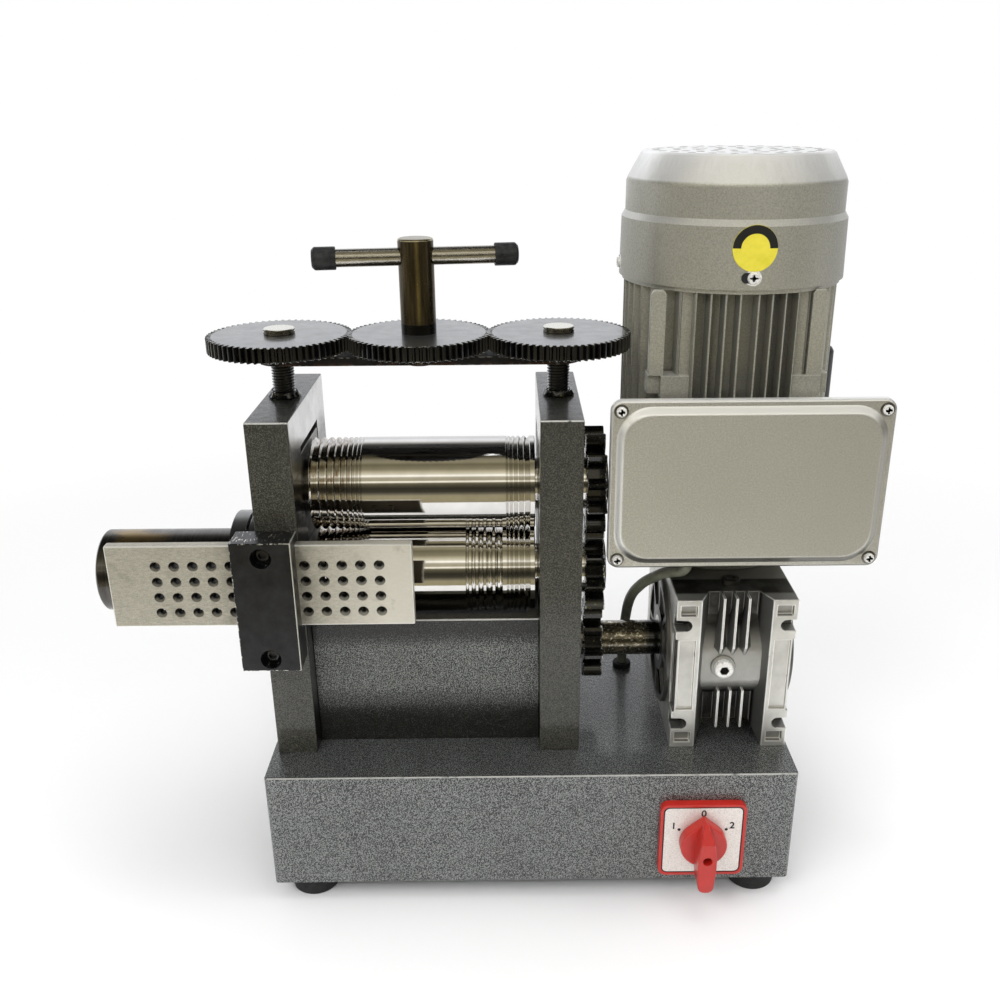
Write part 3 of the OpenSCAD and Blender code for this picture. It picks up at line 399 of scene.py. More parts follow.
def bar_steel():
    """Drawn steel bar, dull along its length."""
    mat = Finish("bar_steel", Metallic=1.0)
    brushed = mat.noise(0.0009, 3.0, 0.6, stretch=(0.05, 1, 1))
    metal = brushed.between((0.42, 0.4, 0.36), (0.6, 0.575, 0.52))
    # painted shade, dark brown, on its underside
    return mat.done(mat.facing("Z").span(-0.35, -0.75, 0, 0.9).mix(metal, (0.1, 0.07, 0.04)), brushed.swing(0.2, 0.3),
                    brushed, 0.00002, 0.4)


def bearing_steel():
    mat = Finish("bearing_steel", Metallic=1.0)
    cloud = mat.noise(0.01, 4.0, 0.6)
    metal = cloud.between((0.13, 0.128, 0.12), (0.28, 0.275, 0.26))
    return mat.done(mat.wear(0.01, 0.3, 0.5).mix(metal, (0.5, 0.49, 0.46)), cloud.swing(0.28, 0.45),
                    mat.noise(0.0008, stretch=(0.1, 1, 1)), 0.00004)


def cast_aluminium():
    """Grainy cast aluminium, with dirt and painted shade deep in its recesses."""
    mat = Finish("cast_aluminium", Metallic=0.8)
    lo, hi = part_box("gearbox_housing")
    grain, cloud = mat.noise(0.0011, 3.0, 0.6), mat.noise(0.02, 3.0, 0.6)
    back, off, reach = mat.along("Y") - lo.y, abs(mat.along("X") - (lo.x + hi.x) / 2), (hi.x - lo.x) / 2
    deep = back.span(0.0055, 0.013) | abs(mat.facing("X")).span(0.4, 0.8, 0, 0.72) | back.span(0.003, 0.004, 0, 0.4)
    # dirt and painted shade lie in front between the pads and on the side covers; painted shade also darkens the top
    deep = deep * back.span(0.034, 0.04, 1, 0.15) * off.span(reach - 0.0012, reach - 0.0006, 1, 0.25)
    deep = deep | off.span(reach + 0.0003, reach + 0.0006, 0, 0.85) | mat.facing("Z").span(0.6, 0.9, 0, 0.6)
    metal = cloud.between((0.55, 0.545, 0.51), (0.76, 0.755, 0.71))
    metal = (deep * cloud.span(0.25, 0.55, 0.85, 1)).mix(metal, (0.022, 0.021, 0.019))
    worn = mat.wear(0.01, 0.2, 0.4) * back.span(0.006, 0.01, 1, 0.2)
    return mat.done(worn.mix(metal, (0.92, 0.91, 0.88)), grain.swing(0.3, 0.46), grain, 0.00018, 0.6)


def motor_paint():
    """Champagne-silver paint with fine metallic speckle."""
    mat = Finish("motor_paint", Metallic=0.6, Coat_Weight=0.5, Coat_Roughness=0.18)
    axis, top = spot("motor_fan_cowl"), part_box("motor_fan_cowl")[0].z
    colour = shades(bpy.context.scene.mill_motor.paint_colour)
    speckle, height, right = mat.noise(0.0011, 3.0, 0.7), mat.along("Z"), mat.facing("X")
    paint = speckle.ramp((0.32, shades(colour, 0.74)), (0.5, colour), (0.68, shades(colour, 1.22)))
    paint = mat.noise(0.05).span(0.25, 0.75, 0, 0.25).mix(paint, shades(colour, 0.7))
    # painted shade between the fins and towards the sides, and a painted highlight on top
    x, y = mat.along("X") - axis.x, mat.along("Y") - axis.y
    painted_shade = mat.math("SQRT", x * x + y * y).span(0.056, 0.073, 0.75, 0) * height.span(top, top + 0.001, 1, 0)
    painted_shade = painted_shade | right.span(0.1, 0.95, 0, 0.62) | right.span(-0.1, -0.9, 0, 0.4)
    painted_top_highlight = mat.facing("Z").span(0.25, 0.6) * height.span(top + 0.05, top + 0.062, 0.4, 1)
    paint = (painted_top_highlight * right.span(0.3, 0.9, 1, 0.75)).mix(painted_shade.mix(paint, shades(colour, 0.25)), (0.97, 0.97, 0.96))
    return mat.done(paint, speckle.swing(0.42, 0.32), speckle, 0.00008)


def box_paint():
    """Satin silver-beige paint."""
    mat = Finish("box_paint", Metallic=0.6, Coat_Weight=0.3, Coat_Roughness=0.18)
    colour = shades(bpy.context.scene.mill_motor.box_colour)
    lo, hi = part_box("electric_box_cover")
    speckle, up, right = mat.noise(0.0011, 2.0, 0.7), mat.facing("Z"), mat.facing("X")
    # painted shade: darker towards the right, in soft clouds
    shade = mat.noise(0.07).span(0.2, 0.8, 0, 0.2) + mat.along("X").span(lo.x, hi.x, 0, 0.35)
    paint = shade.mix(speckle.between(shades(colour, 0.78), shades(colour, 1.15)), shades(colour, 0.7))
    # painted light on the slopes that face up and to the left, painted shade on those that face down and to the right
    paint = (up.span(0.25, 0.5) | right.span(-0.3, -0.5, 0, 0.8)).mix(paint, (0.9, 0.895, 0.86))
    paint = (up.span(-0.2, -0.5) | right.span(0.3, 0.5, 0, 0.6)).mix(paint, shades(colour, 0.3))
    return mat.done(paint, speckle.swing(0.38, 0.3), speckle, 0.00005)


def switch_plate():
    mat = Finish("switch_plate", Metallic=0.5)
    grain = mat.noise(0.0009, 3.0, 0.65)
    plate = grain.ramp((0.3, (0.62, 0.57, 0.53)), (0.5, (0.78, 0.73, 0.69)), (0.7, (0.86, 0.82, 0.78)))
    return mat.done(plate, grain.swing(0.38, 0.5), grain, 0.00003, 0.4)


def sticker_yellow():
    """Yellow foil with a plain black band, on the motor's cowl."""
    mat = Finish("sticker_yellow")
    cloud = mat.noise(0.006, 3.0, 0.6)
    foil = cloud.between((0.6, 0.52, 0.03), (0.7, 0.6, 0.05))
    return mat.done(mat.marked("band").mix(foil, (0.012, 0.012, 0.012)), cloud.swing(0.3, 0.42))


def clouded(name, size, first, second, rough, grain=None, depth=0.0, **sockets):
    """A finish that drifts softly between two colours and two roughnesses, with a fine grain."""
    mat = Finish(name, **sockets)
    cloud = mat.noise(size, 3.0, 0.6)
    return mat.done(cloud.between(first, second), cloud.swing(*rough), mat.noise(grain) if grain else cloud, depth, 0.4)


def red_plastic():
    colour = shades(bpy.context.scene.mill_switch.plastic_colour)
    return clouded("red_plastic", 0.008, shades(colour, 0.85), colour, (0.28, 0.4), 0.0007, 0.00003,
                   Coat_Weight=0.2, Coat_Roughness=0.2)


def dull_black(name, size, rough):
    return clouded(name, size, (0.012, 0.012, 0.012), (0.03, 0.03, 0.03), (rough, rough + 0.15), size / 4, 0.00006,
                   Specular_IOR_Level=0.2)


MATERIALS = {make.__name__: make for make in (
    hammertone, hammertone_dark, black_oxide, clamp_black, stained_black, gear_train, polished_steel, cap_steel,
    plate_steel, temper_steel, oily_steel, column_steel, bar_steel, bearing_steel, cast_aluminium, motor_paint,
    box_paint, switch_plate, sticker_yellow, red_plastic)}
MATERIALS.update(
    black_rubber=lambda: dull_black("black_rubber", 0.004, 0.55),
    black_plastic=lambda: dull_black("black_plastic", 0.006, 0.3),
    print_black=lambda: dull_black("print_black", 0.003, 0.45),
    bright_steel=lambda: clouded("bright_steel", 0.004, (0.5, 0.49, 0.45), (0.66, 0.65, 0.61), (0.2, 0.36), 0.0006,
                                 0.00003, Metallic=1.0),
    zinc=lambda: clouded("zinc", 0.0015, (0.68, 0.67, 0.63), (0.88, 0.87, 0.83), (0.25, 0.4), None, 0.00004,
                         Metallic=0.3),
    cable_sheath=lambda: clouded("cable_sheath", 0.01, (0.13, 0.135, 0.09), (0.24, 0.245, 0.18), (0.4, 0.55),
                                 Coat_Weight=0.15, Coat_Roughness=0.4))


def finish(name):
    """The material of that name, made on first use."""
    return bpy.data.materials.get("mill_" + name) or MATERIALS[name]()


# ---------------------------------------------------------------- modelling


def copy_of(node):
    """The merged mesh of a CAD node, with its flat faces made whole."""
    bm = bmesh.new()
    bm.from_mesh(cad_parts[node].data)
    bmesh.ops.remove_doubles(bm, verts=bm.verts, dist=2e-6)
    bmesh.ops.dissolve_limit(bm, angle_limit=math.radians(0.5), verts=bm.verts, edges=bm.edges,
                             use_dissolve_boundaries=False)
    return bm


def rounded(bm, radius, sharper=40, longer=0.0, pick=None, segments=2):
    """Rounds the sharp edges and marks the rounded strips as places that wear."""
    wear = bm.faces.layers.float.get("wear") or bm.faces.layers.float.new("wear")
    edges = [e for e in bm.edges if e.is_manifold and e.calc_face_angle(0) > math.radians(sharper)
             and e.calc_length() > longer and (pick is None or pick(e))]
    made = bmesh.ops.bevel(bm, geom=edges, offset=radius, offset_type="OFFSET", segments=segments, profile=0.5,
                           affect="EDGES", material=-1, clamp_overlap=False)
    for face in made["faces"]:
        face[wear] = 1.0
    return bm


def in_planes(edge, axis, places):
    """Whether an edge lies in a plane across the axis at one of the places."""
    return any(all(abs(v.co[axis] - place) < ON_PLANE for v in edge.verts) for place in places)


def on_box(edge, lo, hi):
    """Whether an edge lies on an edge of the box."""
    return sum(in_planes(edge, i, (limit,)) for i in range(3) for limit in (lo[i], hi[i])) >= 2


def turned(points, middle, axis, steps=96, closed=False):
    """A lathe-turned form; points are (radius, place along the axis) in millimetres from middle."""
    bm = bmesh.new()
    out = X if axis.z else Z
    verts = [bm.verts.new(middle + (axis * place + out * radius) * MM) for radius, place in points]
    ring = verts + verts[:1] if closed else verts
    edges = [bm.edges.new(pair) for pair in zip(ring, ring[1:])]
    bmesh.ops.spin(bm, geom=verts + edges, cent=middle, axis=axis, dvec=(0, 0, 0), angle=math.tau, steps=steps,
                   use_merge=True)
    bmesh.ops.remove_doubles(bm, verts=bm.verts, dist=1e-7)
    bmesh.ops.recalc_face_normals(bm, faces=bm.faces)
    return bm


def meshed(bm, name):
    mesh = bpy.data.meshes.new(name)
    bm.to_mesh(mesh)
    bm.free()
    return mesh


def joined(*forms):
    """Several forms as one bmesh."""
    whole = bmesh.new()
    whole.faces.layers.float.new("wear")
    for bm in forms:
        mesh = meshed(bm, "part")
        whole.from_mesh(mesh)
        bpy.data.meshes.remove(mesh)
    return whole


def placed(bm, middle, toward=Z):
    """Moves a form made around +Z at the origin to middle, so that it faces toward."""
    turn = Z.rotation_difference(toward).to_matrix().to_4x4()
    bmesh.ops.transform(bm, matrix=Matrix.Translation(middle) @ turn, verts=bm.verts)
    return bm


def ring_edges(verts):
    return list({e for v in verts for e in v.link_edges if all(w in verts for w in e.verts)})


def lofted(*rings):
    """A skin over rings of points in millimetres, closed at both ends."""
    bm = bmesh.new()
    loops = []
    for ring in rings:
        verts = [bm.verts.new(Vector(place) * MM) for place in ring]
        for pair in zip(verts, verts[1:] + verts[:1]):
            bm.edges.new(pair)
        loops.append(verts)
    for first, second in zip(loops, loops[1:]):
        bmesh.ops.bridge_loops(bm, edges=ring_edges(first) + ring_edges(second))
    for verts in (loops[0], loops[-1]):
        bmesh.ops.contextual_create(bm, geom=ring_edges(verts))
    bmesh.ops.recalc_face_normals(bm, faces=bm.faces)
    return bm


def level(outline, height, scale=1.0):
    """An outline's points, scaled, at one height."""
    return [(x * scale, y * scale, height) for x, y in outline]


def stacked(outline, *levels):
    """A form of one outline at several (height, scale) from its foot up."""
    return lofted(*(level(outline, *one) for one in levels))


def round_outline(radius, count=24):
    return [(radius * math.cos(math.tau * i / count), radius * math.sin(math.tau * i / count)) for i in range(count)]


def box_outline(reach_x, reach_y, radius, steps=8):
    """A rectangle with round corners, from its middle."""
    points = []
    for i, (sx, sy) in enumerate(((1, 1), (-1, 1), (-1, -1), (1, -1))):
        for j in range(steps + 1):
            turn = math.tau * (i + j / steps) / 4
            points.append((sx * (reach_x - radius) + radius * math.cos(turn),
                           sy * (reach_y - radius) + radius * math.sin(turn)))
    return points


def screw_head(radius, height, recess, depth, dome=0.35):
    """A screw head facing +Z from the origin, in millimetres, with a recess of that outline."""
    rim = round_outline(radius)
    return lofted(level(rim, 0), level(rim, height * (1 - dome)), level(rim, height * (1 - dome * 0.4), 0.93),
                  level(rim, height, 0.78), level(recess, height), level(recess, height - depth))


def hexagon(radius):
    return round_outline(radius, 6)


def cross(reach, half):
    """Outline of a cross recess."""
    points = [(reach, -half), (reach, half), (half, half)]
    for i in range(9):
        x, y = points[i]
        points.append((-y, x))
    return points


def add(name, data):
    obj = bpy.data.objects.new(name, data)
    bpy.context.scene.collection.objects.link(obj)
    return obj


def piece(bm, name, body, slot, replaces=None, material=None, smooth=32, flat_first=True):
    """Makes the piece's object, with its finish, on the body that carries it."""
    for face in bm.faces:
        face.smooth = True
    for edge in bm.edges:
        edge.smooth = not edge.is_manifold or edge.calc_face_angle(0) < math.radians(smooth)
    obj = add(name, meshed(bm, name))
    obj.data.materials.append(finish(material or slot))
    if flat_first:
        obj.modifiers.new("even_faces", "WEIGHTED_NORMAL").keep_sharp = True
    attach(obj, body)
    if replaces:
        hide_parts(replaces)


def softened(node, name, body, slot, radius, sharper=50, longer=0.0, pick=None, **how):
    """Stands for a CAD node, in its own shape with its edges rounded."""
    piece(rounded(copy_of(node), radius, sharper, longer, pick), name, body, slot, node, **how)


def dress(node, material):
    """Gives a CAD node that stays its finish."""
    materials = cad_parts[node].data.materials
    materials.clear()
    materials.append(finish(material))


# ---------------------------------------------------------------- sizes and colours


def length(name, text, default):
    return FloatProperty(name=name, description=text, default=default, min=0.0, unit="LENGTH")


def colour(name, text, default):
    return FloatVectorProperty(name=name, description=text, default=default, min=0.0, max=1.0, subtype="COLOR")


class MillCastings(bpy.types.PropertyGroup):
    """Painted base and roll stand"""
    edge: length("Edge radius", "Rounding of the base's and the uprights' edges", 0.0009)
    base_colour: colour("Base paint", "Light flecks of the base's hammered paint", (0.255, 0.268, 0.26))
    stand_colour: colour("Stand paint", "Light flecks of the roll stand's hammered paint", (0.1, 0.1, 0.08))


class MillSteel(bpy.types.PropertyGroup):
    """Rolls, shafts and gears"""
    tooth_edge: length("Tooth edge", "Rounding of the gears' tooth ends", 0.0005)
    thread_pitch: length("Thread pitch", "Pitch of the adjusting screws", 0.002)
    polished_colour: colour("Polished steel", "Colour of the rolls and the cross bar", (0.74, 0.725, 0.7))


class MillMotor(bpy.types.PropertyGroup):
    """Motor, gearbox and electric box"""
    casting_edge: length("Casting edge", "Rounding of the gearbox's edges", 0.0007)
    paint_colour: colour("Motor paint", "Colour of the motor's paint", (0.48, 0.47, 0.4))
    box_colour: colour("Box paint", "Colour of the electric box's paint", (0.53, 0.515, 0.45))


class MillSwitch(bpy.types.PropertyGroup):
    """Switch on the front of the base"""
    mark_height: length("Mark height", "Height of the numbers on the dial", 0.0078)
    plastic_colour: colour("Switch plastic", "Colour of the switch frame and knob", (0.5, 0.02, 0.013))


class MillStage(bpy.types.PropertyGroup):
    """Floor, light and camera"""
    floor_colour: colour("Floor", "Colour of the floor", (0.93, 0.93, 0.93))
    lens: FloatProperty(name="Lens", description="Focal length in millimetres", default=37.93, min=1.0)
    table_front: length("Table front", "How far the table seen in reflections reaches to the front", 0.5)


# ---------------------------------------------------------------- stage


# what reflections see around the X axis: degrees up from the front, how bright and how warm
ROOM = ((-180, 0.70, 0.0), (-40, 0.55, 0.1), (-32, 0.25, 0.35), (-20, 0.26, 0.4), (-14, 0.25, 0.35),
        (-9, 0.12, 0.3), (-4, 0.04, 0.3), (5, 0.025, 0.3), (13, 0.07, 0.35), (18, 0.14, 0.35), (20, 0.9, 0.15),
        (22, 0.9, 0.15), (24, 0.3, 0.3), (32, 0.38, 0.25), (34.5, 0.95, 0.1), (37, 0.95, 0.1), (39, 0.62, 0.2),
        (46, 0.38, 0.3), (52, 0.2, 0.35), (64, 0.12, 0.4), (71, 0.22, 0.35), (77, 0.19, 0.3), (84, 0.06, 0.4),
        (90, 0.03, 0.4), (100, 0.006, 0.0), (122, 0.03, 0.0), (130, 0.08, 0.1), (136, 0.3, 0.0),
        (143, 0.68, 0.0), (151, 0.8, -0.05), (166, 0.6, -0.05), (180, 0.65, 0.0))
# name, place, target, size and power
LAMPS = (("key", (-0.9, -1.3, 1.75), (0, 0, 0.2), (1.3, 0.5), 16),
         ("strip_front", (0.1, -1.15, 1.0), (0, 0, 0.25), (1.6, 0.1), 4),
         ("top", (0.15, 0.1, 1.9), (0, 0, 0.2), (1.5, 0.9), 12),
         ("side", (1.7, -0.3, 0.9), (0, 0, 0.2), (0.7, 1.1), 7))
CAMERA_PLACE = (0.01943, -0.72934, 0.55225)
# degrees down, to the right and around its own axis
CAMERA_TURN = (22.42, 0.39, -0.37)
CAMERA_SHIFT = (-0.0192, 0.0330)


class MILL_OT_stage(bpy.types.Operator):
    """Sets up the floor, the light and the camera"""
    bl_idname = "mill.stage"
    bl_label = "Stage"

    def execute(self, context):
        scene = context.scene
        scene.view_settings.view_transform = "Standard"
        self.camera(scene)
        self.surroundings(scene)
        self.floor(scene)
        for name, place, target, size, power in LAMPS:
            data = bpy.data.lights.new(name, "AREA")
            data.shape, data.size, data.size_y, data.energy = "RECTANGLE", *size, power
            lamp = add(name, data)
            lamp.location = place
            lamp.rotation_euler = (Vector(target) - Vector(place)).to_track_quat("-Z", "Y").to_euler()
            # the room's own bands are what shiny surfaces mirror
            lamp.visible_glossy = False
        return {"FINISHED"}

    def camera(self, scene):
        pitch, yaw, roll = (math.radians(a) for a in CAMERA_TURN)
        ahead = Vector((math.sin(yaw) * math.cos(pitch), math.cos(yaw) * math.cos(pitch), -math.sin(pitch)))
        right = ahead.cross(Z).normalized()
        up = right.cross(ahead)
        right, up = right * math.cos(roll) + up * math.sin(roll), up * math.cos(roll) - right * math.sin(roll)
        data = bpy.data.cameras.new("camera")
        data.lens, data.sensor_width = scene.mill_stage.lens, 36
        data.shift_x, data.shift_y = CAMERA_SHIFT
        data.clip_start, data.clip_end = 0.01, 50
        scene.camera = add("camera", data)
        turn = Matrix((right, up, -ahead)).transposed().to_4x4()
        scene.camera.matrix_world = Matrix.Translation(CAMERA_PLACE) @ turn

    def surroundings(self, scene):
        """A white room for the eye, and bands of walls, windows and ceiling in the reflections."""
        scene.world = bpy.data.worlds.new("room")
        room = Graph(scene.world)
        room.nodes.clear()
        x, y, z = room.parts(room.node("TexCoord", out="Generated"))
        degrees = room.math("ARCTAN2", z, y * -1.0) * (180 / math.pi)
        bands = degrees.span(-180, 180).ramp(*[((t + 180) / 360, self.tone(*c)) for t, *c in ROOM])
        # a small bright lamp overhead, and a darker room to the right
        across, up = (x + 0.045) / 0.045, (degrees - 94) / 8
        bands = (across * across + up * up).span(0.7, 1.0, 1, 0).mix(bands, (1, 1, 1))
        bands = x.span(0.15, 0.85, 0, 0.45).mix(bands, (0.03, 0.025, 0.02))
        glossy, soft, white = (room.node("Background", *part) for part in (
            (bands, 1.4), ((1, 1, 1), 0.62), ((1, 1, 1), 1.0)))
        whole = room.choose("Is Transmission Ray", room.choose("Is Glossy Ray", soft, glossy), white)
        room.join(room.choose("Is Camera Ray", whole, white), room.nodes.new("ShaderNodeOutputWorld").inputs["Surface"])

    def tone(self, grey, warmth):
        return tuple(min(1, grey * (1 + warmth * tint)) for tint in (0.35, 0.0, -1.0))

    def floor(self, scene):
        bm = bmesh.new()
        bmesh.ops.create_circle(bm, cap_ends=True, segments=96, radius=6.0)
        floor = add("floor", meshed(bm, "floor"))
        mat = Finish("floor")
        tone = shades(scene.mill_stage.floor_colour)
        floor.data.materials.append(mat.done(mat.noise(0.4).between(tone, shades(tone, 0.985)), 0.6))
        away = mat.node("VectorMath", mat.place, out="Value", operation="LENGTH").span(0.45, 1.1)
        whole = mat.choose("Is Camera Ray", Value(mat, mat.shader.outputs[0]), mat.node("Emission"), away)
        # reflections see the table's front edge, and the room beyond it
        beyond = mat.math("LESS_THAN", mat.along("Y"), -scene.mill_stage.table_front)
        whole = mat.choose("Is Glossy Ray", whole, mat.node("BsdfTransparent"), beyond)
        mat.join(whole, mat.nodes["Material Output"].inputs["Surface"])


# ---------------------------------------------------------------- cable and roll stand


CABLE_ROUTE = [(302, 59, 140), (301.5, 60, 134.5), (299, 62, 130.5), (294, 67, 127.5), (288, 75, 123),
               (283, 84, 116), (278, 94, 108), (274, 105, 98), (271, 116, 87), (269.5, 127, 74), (269, 137, 59),
               (269, 145, 44), (269, 151, 29), (269, 155, 16), (269, 156, 9), (269, 156, 5)]


class MILL_OT_cable(bpy.types.Operator):
    """Lays the supply cable from the electric box's gland to the base's grommet"""
    bl_idname = "mill.cable"
    bl_label = "Cable"

    def execute(self, context):
        data = bpy.data.curves.new("cable", "CURVE")
        data.dimensions, data.bevel_depth, data.bevel_resolution, data.use_fill_caps = "3D", 0.004, 5, True
        spline = data.splines.new("BEZIER")
        points = [at(*p) for p in CABLE_ROUTE]
        spline.bezier_points.add(len(points) - 1)
        spline.resolution_u = 6
        for point, place in zip(spline.bezier_points, points):
            point.co = place
            point.handle_left_type = point.handle_right_type = "AUTO"
        data.materials.append(finish("cable_sheath"))
        cable = add("cable", data)
        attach(cable, "frame")
        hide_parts("supply_cable")
        softened("cable_glands", "cable_seals", "frame", "black_rubber", 0.001)
        return {"FINISHED"}


# the rounding of the base's upright corners
BASE_CORNER = 0.003


class MILL_OT_castings(bpy.types.Operator):
    """Makes the painted base, the uprights and the cross member, worn along their front top edges"""
    bl_idname = "mill.castings"
    bl_label = "Castings"

    def execute(self, context):
        for node, name, material in (("base_housing", "base_shell", "hammertone"),
                                     ("base_bottom_cover", "base_floor", "hammertone"),
                                     ("left_upright", "left_stand", "hammertone_dark"),
                                     ("right_upright", "right_stand", "hammertone_dark"),
                                     ("cross_member", "cross_casting", "hammertone_dark")):
            bm = self.casting(node, *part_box(node), context.scene.mill_castings.edge)
            piece(bm, name, "frame", "hammertone", node, material)
        return {"FINISHED"}

    def casting(self, node, lo, hi, edge):
        """The node's form with rounded outer edges, and marks where it is worn, where it is bare, and where its flat
        front gets painted light and shade as if curved.
        """
        bm, base = copy_of(node), node.startswith("base")
        if base:
            rounded(bm, BASE_CORNER, segments=4,
                    pick=lambda e: on_box(e, lo, hi) and abs(e.verts[0].co.z - e.verts[1].co.z) > 0.001)
            for face in bm.faces:
                face[bm.faces.layers.float["wear"]] = 0.0
        rounded(bm, edge, pick=lambda e: on_box(e, lo, hi) or (base and self.rim(e, lo, hi)))
        for mark in ("bare", "painted_curve_shading"):
            bm.faces.layers.float.new(mark)
        wear, bare, painted_curve_shading = (bm.faces.layers.float[mark] for mark in ("wear", "bare", "painted_curve_shading"))
        for face in bm.faces:
            middle = face.calc_center_median()
            if middle.z < hi.z - edge or middle.y > lo.y + edge:
                face[wear] = 0.0
            face[bare] = float(node.endswith("upright") and self.machined(middle, lo, hi, edge))
            face[painted_curve_shading] = float(node == "cross_member" and middle.y < lo.y + edge / 4)
        return bm

    def rim(self, edge, lo, hi):
        """Whether an edge of the base runs around a rounded corner, level with its top or bottom."""
        reach = BASE_CORNER + 0.0001
        return in_planes(edge, 2, (lo.z, hi.z)) and all(
            min(v.co[i] - lo[i], hi[i] - v.co[i]) < reach for v in edge.verts for i in (0, 1))

    def machined(self, place, lo, hi, edge):
        """Whether a place on an upright is ground bare: its inner side, and the walls of its window."""
        inner = hi.x if hi.x < spot("cross_member").x else lo.x
        inside = all(lo[i] + edge * 1.2 < place[i] < hi[i] - edge * 1.2 for i in (1, 2))
        return abs(place.x - inner) < edge / 4 or (inside and lo.x + edge < place.x < hi.x - edge)


# how far the feet's middles stand in from the CAD's box: from the left, the right, and the front and back
FOOT_LEFT, FOOT_RIGHT, FOOT_SIDE = 0.017, 0.014, 0.0135


class MILL_OT_feet(bpy.types.Operator):
    """Turns the four rubber feet"""
    bl_idname = "mill.feet"
    bl_label = "Feet"

    def execute(self, context):
        lo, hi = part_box("rubber_feet")
        tall = (hi.z - lo.z) / MM
        profile = [(0, 0), (16.4, 0), (17.2, 0.7), (17.6, 2.4), (18, tall), (0, tall)]
        feet = [turned(profile, Vector((x, y, lo.z)), Z, 64)
                for x in (lo.x + FOOT_LEFT, hi.x - FOOT_RIGHT) for y in (lo.y + FOOT_SIDE, hi.y - FOOT_SIDE)]
        piece(joined(*feet), "round_feet", "frame", "black_rubber", "rubber_feet", smooth=50)
        return {"FINISHED"}


class MILL_OT_bearings(bpy.types.Operator):
    """Rounds the bearing blocks in the uprights' windows"""
    bl_idname = "mill.bearings"
    bl_label = "Bearing blocks"

    def execute(self, context):
        for node, name, body in (("lower_bearing_blocks", "lower_blocks", "frame"),
                                 ("upper_bearing_blocks", "sliding_blocks", "upper_blocks")):
            softened(node, name, body, "bearing_steel", 0.0008, 40, 0.004)
        return {"FINISHED"}


# the rolls in millimetres: the ground face's length, how far its ends stand from the left upright, the journals' radius
ROLL_FACE, ROLL_GAP, JOURNAL = 158.6, 2.2, 20


def grooves(width, step, land, count):
    """(centre, width) of grooves that get narrower by step, counted from the first one's edge."""
    rows, centre = [], width / 2
    for i in range(count):
        rows.append((centre, width - step * i))
        centre += width - step * (i + 0.5) + land
    return rows


def vee(r, c, w):
    return [(r, c - w / 2), (r - w / 2, c), (r, c + w / 2)]


def scoop(r, c, w):
    return [(r - w / 2 * math.sin(math.pi * i / 8), c - w / 2 * math.cos(math.pi * i / 8)) for i in range(9)]


class MILL_OT_rolls(bpy.types.Operator):
    """Turns the two grooved rolls"""
    bl_idname = "mill.rolls"
    bl_label = "Rolls"

    def execute(self, context):
        for node, name, body in (("lower_roll", "lower_ground_roll", "lower_roll"),
                                 ("upper_roll", "upper_ground_roll", "upper_roll")):
            lo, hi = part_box(node)
            start = spot(node)
            start.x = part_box("left_upright")[1].x + ROLL_GAP * MM
            r, x0, x1, end = (hi.z - lo.z) / 2 / MM, (lo.x - start.x) / MM, (hi.x - start.x) / MM, ROLL_FACE
            cuts = [p for c, w in grooves(5.4, 0.5, 0.75, 9) for p in vee(r, 0.9 + c, w)]
            if node == "lower_roll":
                cuts += [p for c, w in reversed(grooves(5.6, 0.8, 1.7, 5)) for p in scoop(r, end - 23.6 - c, w)]
            cuts += [p for c, w in reversed(grooves(3.8, 0.5, 0.8, 5)) for p in vee(r, end - 3.5 - c, w)]
            profile = [(0, x0), (JOURNAL - 1, x0), (JOURNAL, x0 + 1), (JOURNAL, 0), (r - 0.4, 0), (r, 0.4), *cuts,
                       (r, end - 0.4), (r - 0.4, end), (JOURNAL, end), (JOURNAL, x1 - 1), (JOURNAL - 1, x1), (0, x1)]
            piece(turned(profile, start, X, 128), name, body, "polished_steel", node, smooth=25)
        return {"FINISHED"}


class MILL_OT_shafts(bpy.types.Operator):
    """Makes the shaft extension, its lock nuts, the drive shaft and the hollow shaft"""
    bl_idname = "mill.shafts"
    bl_label = "Shafts"

    def execute(self, context):
        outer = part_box("shaft_extension")[0].x + 0.01
        softened("shaft_extension", "extension", "lower_roll", "temper_steel", 0.0005, 35,
                 pick=lambda e: e.verts[0].co.x < outer)
        softened("lock_nuts", "slotted_nuts", "lower_roll", "black_oxide", 0.0008, longer=0.002)
        piece(copy_of("drive_shaft"), "long_drive_shaft", "drive", "oily_steel", "drive_shaft")
        dress("hollow_shaft", "bright_steel")
        return {"FINISHED"}


class MILL_OT_driving_gears(bpy.types.Operator):
    """Rounds the teeth of the roll gears and the pinion"""
    bl_idname = "mill.driving_gears"
    bl_label = "Driving gears"

    def execute(self, context):
        radius = context.scene.mill_steel.tooth_edge * 1.4
        for node, name, body in (("lower_roll_gear", "lower_spur_gear", "lower_roll"),
                                 ("upper_roll_gear", "upper_spur_gear", "upper_roll"),
                                 ("drive_pinion", "spur_pinion", "drive")):
            ends = [corner.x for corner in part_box(node)]
            softened(node, name, body, "gear_train", radius, pick=lambda e: in_planes(e, 0, ends), smooth=40)
        return {"FINISHED"}


# ---------------------------------------------------------------- adjusting gears and handle


# the adjusting gears' thickness
WHEEL_THICK = 0.0105


